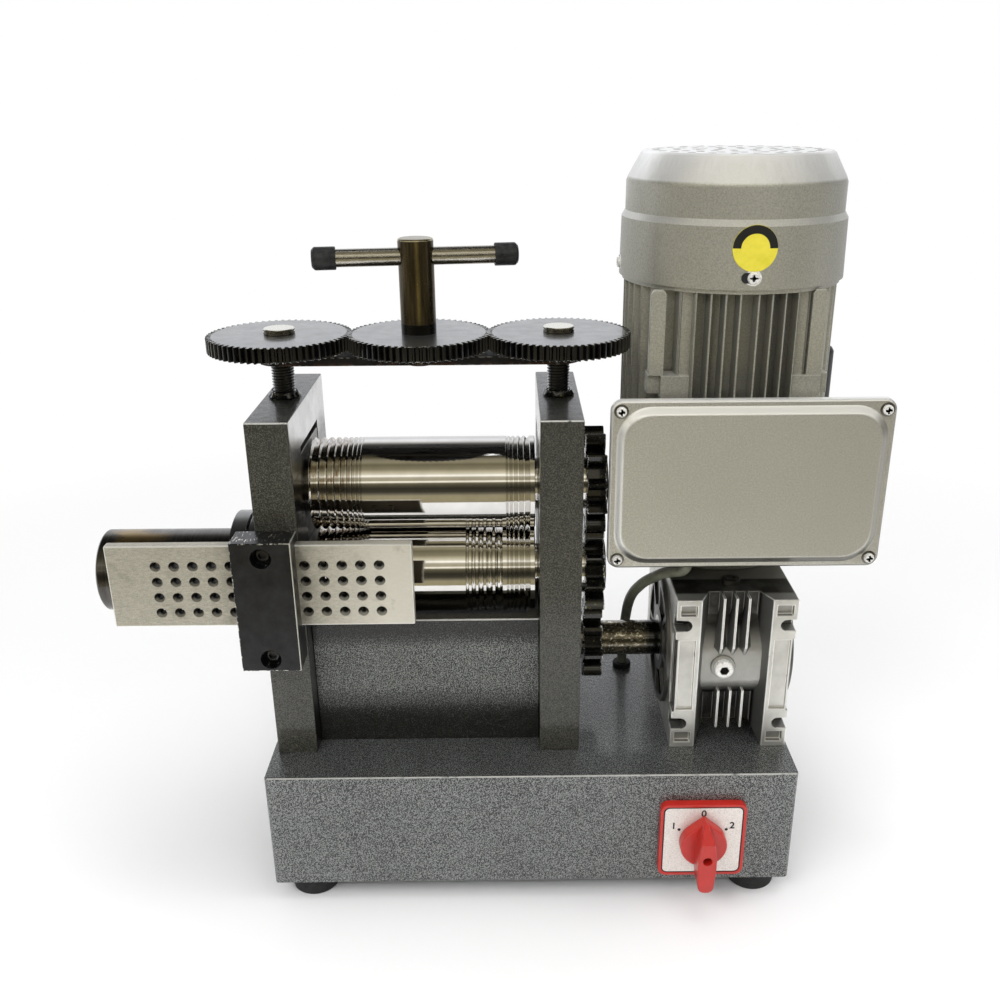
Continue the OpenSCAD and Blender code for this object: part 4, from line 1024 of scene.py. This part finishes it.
class MILL_OT_adjusting_gears(bpy.types.Operator):
    """Rounds the teeth of the three adjusting gears and turns the outer ones' caps"""
    bl_idname = "mill.adjusting_gears"
    bl_label = "Adjusting gears"

    def execute(self, context):
        radius = context.scene.mill_steel.tooth_edge
        for node, name, body in (("left_screw_gear", "left_wheel", "left_adjuster"),
                                 ("centre_gear", "centre_wheel", "handle"),
                                 ("right_screw_gear", "right_wheel", "right_adjuster")):
            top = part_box(node)[1].z
            softened(node, name, body, "black_oxide", radius, smooth=40,
                     pick=lambda e: in_planes(e, 2, (top - WHEEL_THICK, top)))
        for side in ("left", "right"):
            node = side + "_gear_cap"
            lo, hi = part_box(node)
            r, tall = (hi.x - lo.x) / 2 / MM, (hi.z - lo.z) / MM - 1.2
            profile = [(0, 0), (r - 0.4, 0), (r, 0.4), (r, tall * 0.42), (r - 0.7, tall * 0.48), (r - 0.7, tall * 0.56),
                       (r, tall * 0.62), (r, tall - 0.5), (r - 0.5, tall), (0, tall)]
            piece(turned(profile, spot(node, z=0), Z), side + "_cap", side + "_adjuster", "bright_steel", node,
                  "cap_steel", smooth=25)
        return {"FINISHED"}


class MILL_OT_adjusting_screws(bpy.types.Operator):
    """Makes the two threaded screws and the collars around them"""
    bl_idname = "mill.adjusting_screws"
    bl_label = "Adjusting screws"

    def execute(self, context):
        pitch = context.scene.mill_steel.thread_pitch / MM
        for side in ("left", "right"):
            node = side + "_screw"
            lo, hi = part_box(node)
            foot, tall = spot(node, z=0), (hi.z - lo.z) / MM
            ring = (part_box("gear_bridge")[0].z - lo.z) / MM - 0.3
            core = turned([(0, 0), (6, 0), (6.8, 1), (6.8, ring - 1.5), (9.4, ring - 1.5), (9.7, ring - 1.2),
                           (9.7, ring - 0.3), (9.4, ring), (8, ring), (8, tall), (0, tall)], foot, Z, 48)
            thread = self.coil(foot, pitch, int((ring - 3) / pitch))
            piece(joined(core, thread), side + "_thread", side + "_adjuster", "black_oxide", node)
        lo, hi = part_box("screw_collars")
        half = (hi.y - lo.y) / 2
        r = half / MM
        ring = [(8.4, 0.3), (8.6, 3.4), (9.6, 4.2), (r - 0.6, 3.0), (r + 0.9, 1.2), (r + 0.2, 0)]
        collars = [self.lumpy(turned(ring, Vector((x, (lo.y + hi.y) / 2, lo.z)), Z, 64, True))
                   for x in (lo.x + half, hi.x - half)]
        piece(joined(*collars), "greasy_collars", "frame", "black_oxide", "screw_collars", "gear_train")
        return {"FINISHED"}

    def lumpy(self, bm, size=0.0035, reach=0.0012):
        """Pushes the points in and out by a fixed pattern of lumps."""
        bm.normal_update()
        for vert in bm.verts:
            vert.co += vert.normal * noise.noise(vert.co / size) * reach
        return bm

    def coil(self, foot, pitch, turns, steps=28):
        """The thread's ridge, wound up from the screw's foot."""
        bm = bmesh.new()
        start = foot + Z * pitch * MM
        shape = [(6.5, -0.48), (7.92, -0.08), (7.92, 0.08), (6.5, 0.48)]
        face = bm.faces.new([bm.verts.new(start + (X * r + Z * h * pitch) * MM) for r, h in shape])
        made = bmesh.ops.spin(bm, geom=list(face.verts) + list(face.edges), cent=foot, axis=Z,
                              dvec=Z * pitch * MM / steps, angle=math.tau * turns, steps=steps * turns)
        bmesh.ops.contextual_create(bm, geom=[g for g in made["geom_last"] if isinstance(g, bmesh.types.BMEdge)])
        bmesh.ops.recalc_face_normals(bm, faces=bm.faces)
        return bm


class MILL_OT_handle(bpy.types.Operator):
    """Makes the bridge and the cross handle on its column"""
    bl_idname = "mill.handle"
    bl_label = "Bridge and handle"

    def execute(self, context):
        softened("gear_bridge", "stained_bridge", "bridge", "black_oxide", 0.0008, longer=0.002,
                 material="stained_black")
        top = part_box("handle_column")[1].z
        softened("handle_column", "column", "handle", "column_steel", 0.0005, 30,
                 pick=lambda e: min(v.co.z for v in e.verts) > top - 0.002)
        piece(copy_of("handle_bar"), "cross_bar", "handle", "polished_steel", "handle_bar", "bar_steel")
        softened("handle_caps", "bar_caps", "handle", "black_plastic", 0.0006, 30, smooth=50)
        return {"FINISHED"}


# the clamp's screws: how far they stand in from its ends and its front, and their seats' radius in the CAD and here
CLAMP_SCREW_IN, CLAMP_SCREW_BACK, CLAMP_SEAT, CLAMP_SEAT_MADE = 0.009, 0.006, 0.007, 0.0071


class MILL_OT_drawplate(bpy.types.Operator):
    """Makes the drawplate, its holder and the holder's socket screws"""
    bl_idname = "mill.drawplate"
    bl_label = "Drawplate"

    def execute(self, context):
        lo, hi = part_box("drawplate")
        bm = rounded(copy_of("drawplate"), 0.0009, pick=lambda e: on_box(e, lo, hi))
        bore = bm.faces.layers.float.new("bore")
        for face in bm.faces:
            middle = face.calc_center_median()
            face[bore] = float(all(a + inset < c < b - inset for a, b, c, inset in zip(
                lo, hi, middle, (0.0015, ON_PLANE, 0.0015))))
        piece(bm, "wire_plate", "frame", "plate_steel", "drawplate")
        lo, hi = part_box("drawplate_holder")
        bm = copy_of("drawplate_holder")
        seats = [Vector(((lo.x + hi.x) / 2, lo.y + CLAMP_SCREW_BACK, z))
                 for z in (lo.z + CLAMP_SCREW_IN, hi.z - CLAMP_SCREW_IN)]
        for vert in bm.verts:
            for seat in seats:
                if (vert.co - seat).xz.length < CLAMP_SEAT and vert.co.y < hi.y - ON_PLANE:
                    vert.co.xz = seat.xz + (vert.co - seat).xz.normalized() * CLAMP_SEAT_MADE
            # the clamp's front and top stand a little prouder than its solid's
            vert.co.y -= 0.003 if vert.co.y < lo.y + ON_PLANE else 0.0
            vert.co.z += 0.002 if vert.co.z > hi.z - ON_PLANE else 0.0
        piece(rounded(bm, 0.0007, 50, 0.002), "plate_clamp", "frame", "black_oxide", "drawplate_holder", "clamp_black")
        heads = [placed(screw_head(5.6, 3.4, hexagon(3.1), 2.6), seat, -Y) for seat in seats]
        piece(joined(*heads), "clamp_screws", "frame", "black_oxide")
        return {"FINISHED"}


# ---------------------------------------------------------------- gearbox, motor and electric box


# the middle of the gearbox's front, in millimetres from the base's corner, the ribs' pitch and the oil plug's place
GEARBOX_X, GEARBOX_Y, RIB_PITCH = 335.1, 34.8, 8.8
PLUG_X, PLUG_Z = 329.1, 63.6
# the hump between the columns: (height, depth behind their front)
HUMP = (38, 14.9), (42, 11.5), (47, 8.6), (53, 7.4), (74, 7.4), (81, 8.6), (90, 11.5), (102, 14.9)
# half of a rib's outline at its foot, where it is widest and at its top: (reach to the side, depth), with the height
RIB = ((71, (1.6, 15.4), (1.6, 10.5), (0.9, 8.2)), (79, (4.5, 15.4), (4.5, 8.2), (0.9, 4.4)),
       (110, (0.9, 15.4), (0.9, 9.0), (0.9, 3.2)))


class MILL_OT_gearbox(bpy.types.Operator):
    """Makes the cast gearbox, its side covers and plugs"""
    bl_idname = "mill.gearbox"
    bl_label = "Gearbox"

    def execute(self, context):
        softened("gearbox_housing", "gearbox_casting", "frame", "cast_aluminium",
                 context.scene.mill_motor.casting_edge, 40, 0.0035)
        piece(copy_of("gearbox_side_covers"), "gearbox_side_plates", "frame", "cast_aluminium", "gearbox_side_covers")
        plug = placed(screw_head(6.75, 12.3, hexagon(3.5), 6.5, 0.1), at(PLUG_X, GEARBOX_Y + 12.5, PLUG_Z), -Y)
        piece(plug, "oil_plugs", "frame", "bright_steel", "gearbox_plugs", "zinc")
        place = spot("gearbox_housing", y=0, z=1) + Y * 0.03
        top = placed(screw_head(6.75, 4.0, hexagon(3.5), 2.5, 0.2), place)
        piece(top, "top_plug", "frame", "bright_steel", material="bearing_steel")
        forms = [placed(lofted(*([(-18.6, 15.5, z), (-22.6, y, z), (22.6, y, z), (18.6, 15.5, z)] for z, y in HUMP)),
                        at(GEARBOX_X, GEARBOX_Y, 0))]
        for i in (-1, 0, 1):
            rings = [[(-x, y, z) for x, y in half] + [(x, y, z) for x, y in reversed(half)] for z, *half in RIB]
            forms.append(placed(lofted(*rings), at(GEARBOX_X + i * RIB_PITCH, GEARBOX_Y, 0)))
        boss = lofted(level(round_outline(9), 0), level(round_outline(9), 2.6), level(round_outline(8.5), 3.1))
        forms.append(placed(boss, at(PLUG_X, GEARBOX_Y + 9, PLUG_Z), -Y))
        piece(joined(*forms), "gearbox_hump", "frame", "cast_aluminium", smooth=40)
        return {"FINISHED"}


# the fins: their reach from the motor's axis, the first one's place, their pitch, and the corner columns' inner side
FIN_REACH, FIN_START, FIN_PITCH, FIN_COLUMN = 0.075, 0.006, 0.0094, 0.030
# the fins' height on the flange, how much lower they end here, and their width at the tip against the CAD's
FIN_TALL, FIN_LOWER, FIN_TIP = 0.2, 0.004, 0.55
# where the capacitor stands around the motor, and its width against the CAD's
CAPACITOR_TURN, CAPACITOR_WIDTH = math.radians(33), 0.78
# the heights of the cowl's screws and of the sticker above its lower edge
COWL_SCREWS_UP, STICKER_UP = 0.0079, 0.0265


class MILL_OT_motor(bpy.types.Operator):
    """Makes the finned motor, its flange, fan cowl and capacitor"""
    bl_idname = "mill.motor"
    bl_label = "Motor"

    def execute(self, context):
        softened("motor_flange", "flange", "frame", "motor_paint", 0.001, smooth=40)
        piece(rounded(self.body(), 0.0005, 50, 0.012, lambda e: e.is_convex), "finned_body", "frame", "motor_paint",
              "motor_body", smooth=40)
        self.outer_lugs()
        piece(copy_of("motor_fan_cowl"), "fan_cowl", "frame", "motor_paint", "motor_fan_cowl", smooth=28)
        self.capacitor()
        self.cowl_screws()
        self.sticker()
        return {"FINISHED"}

    def body(self):
        """The finned body, with fins that are thinner at their tips."""
        bm = copy_of("motor_body")
        middle = spot("motor_flange")
        for vert in bm.verts:
            place = vert.co - middle
            for i in (0, 1):
                # the corner columns end at the side of a fin
                if abs(abs(place[i]) - FIN_COLUMN) < 1e-4 and abs(place[1 - i]) > FIN_COLUMN + 0.001:
                    vert.co[i] = middle[i] + math.copysign(FIN_COLUMN + 0.0028, place[i])
            if abs(math.hypot(place.x, place.y) - FIN_REACH) > 1e-4:
                continue
            i = 0 if abs(place.x) < abs(place.y) else 1
            if place.z > FIN_TALL - 1e-4:
                vert.co.z -= FIN_LOWER
            count = round((abs(place[i]) - FIN_START) / FIN_PITCH)
            fin = math.copysign(FIN_START + count * FIN_PITCH, place[i])
            if 0 <= count < 5 and abs(place[i] - fin) < 0.0015:
                vert.co[i] = middle[i] + fin + (place[i] - fin) * FIN_TIP
        return bm

    def outer_lugs(self):
        """Small blocks and slabs beside the big ones at the front of the motor."""
        side = box_outline(4.8, 7.0, 0.6, 2)
        forms = [placed(lofted(level(side, 0), level(side, 12.4), level(box_outline(4.2, 6.4, 0.5, 2), 13)),
                        at(x, 99, 261.5), -Y) for x in (276.2, 391.0)]
        slab = [(-5.3, -27), (5.3, -27), (5.3, 28), (3.0, 31), (-3.0, 31), (-5.3, 28)]
        forms += [placed(stacked(slab, (0,), (4.2,), (4.8, 0.95)), at(x, 86.5, 295), -Y) for x in (276.8, 384.7)]
        piece(joined(*forms), "outer_lugs", "frame", "motor_paint", smooth=40)

    def capacitor(self):
        """The capacitor's can, drawn in towards the motor that it is strapped to."""
        bm, top = copy_of("capacitor_housing"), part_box("capacitor_housing")[1].z
        toward = Vector((math.cos(CAPACITOR_TURN), math.sin(CAPACITOR_TURN)))
        seat = spot("motor_flange").xy + toward * (FIN_REACH + 0.002)
        for vert in bm.verts:
            vert.co.xy = seat + (vert.co.xy - seat) * CAPACITOR_WIDTH
        rounded(bm, 0.001, 30, pick=lambda e: min(v.co.z for v in e.verts) > top - 0.004)
        piece(bm, "capacitor_can", "frame", "black_plastic", "capacitor_housing", smooth=50)

    def cowl_screws(self):
        """Cross-head screws in keyhole slots around the cowl's lower edge; the slots are black ovals, painted shade
        where the holes are.
        """
        lo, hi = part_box("motor_fan_cowl")
        centre, reach = spot("motor_fan_cowl", z=0) + Z * COWL_SCREWS_UP, (hi.x - lo.x) / 2
        heads, slot_shades = [], []
        for i in range(4):
            out = Vector((math.sin(math.tau * i / 4), -math.cos(math.tau * i / 4), 0))
            wall = centre + out * (reach - 0.0003)
            heads.append(placed(screw_head(5.4, 1.0, hexagon(2.2), 0.2, 0.3), wall - out * 0.0006, out))
            heads.append(placed(screw_head(4.0, 2.2, cross(2.3, 0.55), 1.2, 0.7), wall, out))
            oval = stacked(box_outline(4.4, 3.4, 3.3, 6), (0,), (0.5,))
            slot_shades.append(placed(oval, wall - Z.cross(out) * 0.0035, out))
        piece(joined(*heads), "cowl_screws", "frame", "bright_steel", material="zinc")
        piece(joined(*slot_shades), "cowl_slot_shades", "frame", "black_plastic")

    def sticker(self):
        """A plain round sticker with a dark band, wrapped on the cowl."""
        lo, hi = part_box("motor_fan_cowl")
        centre, reach = spot("motor_fan_cowl", z=0) + Z * STICKER_UP, (hi.x - lo.x) / 2 + 0.0001
        radius, band_radius = 14.6, 9.3
        bm = turned([(r, 0.0) for r in (0, 2.5, 5, 7.5, band_radius, 11, 12.8, radius)] + [(radius + 0.2, -0.4)],
                    Vector(), Y, 64)
        band = bm.faces.layers.float.new("band")
        for face in bm.faces:
            middle = face.calc_center_median() / MM
            face[band] = float(middle.z > 0 and band_radius < middle.xz.length < radius)
        for vert in bm.verts:
            turn, out = vert.co.x / reach, reach + vert.co.y
            vert.co = centre + Vector((math.sin(turn) * out, -math.cos(turn) * out, vert.co.z))
        bmesh.ops.recalc_face_normals(bm, faces=bm.faces)
        piece(bm, "round_sticker", "frame", "motor_paint", material="sticker_yellow", flat_first=False)


# the box's cover from its back to its raised panel: in from the edge, back from the front, corner radius
COVER_EDGE = (0, 6.2, 8), (0.3, 5.2, 7.8), (1.1, 4.4, 7.2), (1.8, 4.2, 6.6)
COVER_SLOPE = ((3.6, 4.2, 23), (4.2, 4.0, 22.6), (5.2, 3.3, 21.8), (6.5, 2.1, 20.8), (7.8, 0.9, 19.8), (9.0, 0.2, 19),
               (10.2, 0, 18.4))


# the cover's screws: in from its sides and its bottom, down from its top and back from its front
COVER_SCREW_IN, COVER_SCREW_DOWN, COVER_SCREW_BACK = 0.0068, 0.0072, 0.0046


class MILL_OT_electric_box(bpy.types.Operator):
    """Makes the electric box, its cover and the cover's screws"""
    bl_idname = "mill.electric_box"
    bl_label = "Electric box"

    def execute(self, context):
        softened("electric_box_body", "box_body", "frame", "box_paint", 0.0012)
        lo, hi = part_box("electric_box_cover")
        size = (hi - lo) / MM
        rings = [[(x, y, size.y - back) for x, y in box_outline(size.x / 2 - inset, size.z / 2 - inset, corner)]
                 for inset, back, corner in ((0, size.y, 8), *COVER_EDGE, *COVER_SLOPE)]
        cover = placed(lofted(*rings), spot("electric_box_cover", y=1), -Y)
        piece(cover, "box_cover", "frame", "box_paint", "electric_box_cover", smooth=50)
        seats = [Vector((x, lo.y + COVER_SCREW_BACK, z)) for x in (lo.x + COVER_SCREW_IN, hi.x - COVER_SCREW_IN)
                 for z in (lo.z + COVER_SCREW_IN, hi.z - COVER_SCREW_DOWN)]
        washers = [placed(screw_head(4.9, 0.9, hexagon(2.2), 0.2, 0.3), seat, -Y) for seat in seats]
        heads = [placed(screw_head(3.5, 2.8, cross(2.3, 0.6), 1.9, 0.6), seat - Y * 0.0006, -Y) for seat in seats]
        piece(joined(*washers), "cover_washers", "frame", "bright_steel", material="bearing_steel")
        piece(joined(*heads), "cover_screws", "frame", "bright_steel", material="zinc")
        return {"FINISHED"}


# the knob in millimetres: its disc's radius, the disc's and the grip's tips, and the grip's half outline downwards
DISC_RADIUS, DISC_TIP, GRIP_TIP, GRIP_END = 16.75, 21.8, 22.2, -28.1
GRIP = [(1.6, 20.2), (2.9, 18.2), (4.4, 15.0), (5.8, 8.0), (6.5, 1.0), (6.5, -8.0), (6.0, -18.0), (5.5, -24.0),
        (4.3, -26.8), (2.2, -27.9)]
# the screw hole's radius in the grip
GRIP_HOLE = 3.2
# each figure's text, place and dot
FIGURES = ("0", 0, 23.0, None), ("1", -21.2, 12.6, (-17.2, 9.6)), ("2", 20.8, 12.6, (16.8, 9.4))


class MILL_OT_switch(bpy.types.Operator):
    """Makes the switch's frame, dial and knob"""
    bl_idname = "mill.switch"
    bl_label = "Switch"

    def execute(self, context):
        softened("switch_frame", "switch_bezel", "frame", "red_plastic", 0.0008, smooth=40)
        dress("switch_face", "switch_plate")
        middle = spot("switch_face", y=0)
        self.knob(middle)
        self.dial(middle, context.scene.mill_switch.mark_height)
        return {"FINISHED"}

    def knob(self, middle):
        """A thick disc with a pointed grip that has a screw hole in its front."""
        stem = turned([(0, -1.5), (5, -1.5), (5, 0.5), (0, 0.5)], middle, -Y, 48)
        # the disc runs out into a point over the figures
        start = math.acos(DISC_RADIUS / DISC_TIP)
        turns = [start + (math.tau - 2 * start) * i / 80 for i in range(81)]
        drop = [(0.0, DISC_TIP)] + [(-DISC_RADIUS * math.sin(a), DISC_RADIUS * math.cos(a)) for a in turns]
        disc = stacked(drop, (0.25, 0.99), (0.6,), (7.0,), (8.0, 0.975), (8.5, 0.92))
        side = [(0.0, GRIP_TIP)] + GRIP + [(0.0, GRIP_END)] + [(-x, z) for x, z in reversed(GRIP)]
        # the hole's outline starts at the tip and runs the way of the grip's
        hole = round_outline(GRIP_HOLE, len(side))
        hole = hole[len(side) // 4:] + hole[:len(side) // 4]
        hole = hole[:1] + hole[:0:-1]
        grip = lofted(level(side, 6.0), level(side, 23.0), level(side, 23.6, 0.97), level(side, 23.8, 0.92),
                      level(hole, 23.8, 1.08), level(hole, 23.4), level(hole, 15.0))
        cut = bmesh.ops.bisect_plane(grip, geom=grip.verts[:] + grip.edges[:] + grip.faces[:], clear_outer=True,
                                     plane_co=Vector((0, 22.6, 6)) * MM, plane_no=Vector((0, 18, 8.5)))
        bmesh.ops.contextual_create(grip, geom=[g for g in cut["geom_cut"] if isinstance(g, bmesh.types.BMEdge)])
        bmesh.ops.recalc_face_normals(grip, faces=grip.faces)
        rounded(grip, 0.0007, 30, pick=lambda e: min(v.co.z for v in e.verts) > 0.0095 and max(
            v.co.xy.length for v in e.verts) > 0.0045)
        piece(joined(stem, placed(disc, middle, -Y), placed(grip, middle, -Y)), "turning_knob", "switch_knob",
              "red_plastic", "switch_knob", smooth=35)

    def dial(self, middle, size):
        """The dial's numbers, each with its dot, and a black ring around the dial that is painted shade in the gap at
        its edge.
        """
        forms = []
        for text, x, z, dot in FIGURES:
            forms.append(self.figure(text, size, middle + Vector((x, -0.1, z)) * MM))
            if dot:
                forms.append(placed(lofted(level(round_outline(1.15), 0), level(round_outline(1.1), 0.15)),
                                    middle + Vector((dot[0], 0, dot[1])) * MM, -Y))
        piece(joined(*forms), "dial_marks", "frame", "switch_plate", material="print_black", flat_first=False)
        lo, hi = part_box("switch_face")
        half = (hi.x - lo.x) / 2 / MM
        gap_shade = lofted(*(level(box_outline(half + out, half + out, 4 + out, 6), high) for out, high in (
            (-0.5, -1), (-0.5, 0.06), (0.25, 0.06), (0.25, -1))))
        bmesh.ops.delete(gap_shade, geom=[f for f in gap_shade.faces if len(f.verts) > 4], context="FACES_ONLY")
        piece(placed(gap_shade, middle, -Y), "dial_gap_shade", "frame", "switch_plate", material="print_black")

    def figure(self, text, size, place):
        """A flat figure facing the front."""
        data = bpy.data.curves.new("figure", "FONT")
        data.body, data.size, data.extrude, data.offset = text, size, 0.00005, 0.00014
        data.align_x, data.align_y = "CENTER", "CENTER"
        source = bpy.data.objects.new("figure", data)
        mesh = bpy.data.meshes.new_from_object(source)
        bm = bmesh.new()
        bm.from_mesh(mesh)
        bpy.data.objects.remove(source)
        bpy.data.curves.remove(data)
        bpy.data.meshes.remove(mesh)
        bmesh.ops.remove_doubles(bm, verts=bm.verts, dist=1e-7)
        turn = Matrix.Rotation(math.pi / 2, 4, "X")
        bmesh.ops.transform(bm, matrix=Matrix.Translation(place) @ turn, verts=bm.verts)
        return bm


STEPS = (MILL_OT_stage, MILL_OT_cable, MILL_OT_castings, MILL_OT_feet, MILL_OT_bearings, MILL_OT_rolls,
         MILL_OT_shafts, MILL_OT_driving_gears, MILL_OT_adjusting_gears, MILL_OT_adjusting_screws, MILL_OT_handle,
         MILL_OT_drawplate, MILL_OT_gearbox, MILL_OT_motor, MILL_OT_electric_box, MILL_OT_switch)
GROUPS = {"mill_castings": MillCastings, "mill_steel": MillSteel, "mill_motor": MillMotor,
          "mill_switch": MillSwitch, "mill_stage": MillStage}


class MILL_PT_pieces(bpy.types.Panel):
    """Lists the mill's pieces and their sizes"""
    bl_label = "Rolling mill"
    bl_idname = "MILL_PT_pieces"
    bl_space_type = "VIEW_3D"
    bl_region_type = "UI"
    bl_category = "Mill"

    def draw(self, context):
        for group in GROUPS:
            box = self.layout.box()
            settings = getattr(context.scene, group)
            for name in settings.__annotations__:
                box.prop(settings, name)
        for step in STEPS:
            self.layout.operator(step.bl_idname)


def register():
    for group, cls in GROUPS.items():
        bpy.utils.register_class(cls)
        setattr(bpy.types.Scene, group, PointerProperty(type=cls))
    for cls in (*STEPS, MILL_PT_pieces):
        bpy.utils.register_class(cls)


def unregister():
    for cls in reversed((*STEPS, MILL_PT_pieces)):
        bpy.utils.unregister_class(cls)
    for group, cls in GROUPS.items():
        delattr(bpy.types.Scene, group)
        bpy.utils.unregister_class(cls)


def main():
    register()
    for step in STEPS:
        family, name = step.bl_idname.split(".")
        getattr(getattr(bpy.ops, family), name)()


if __name__ == "__main__":
    main()
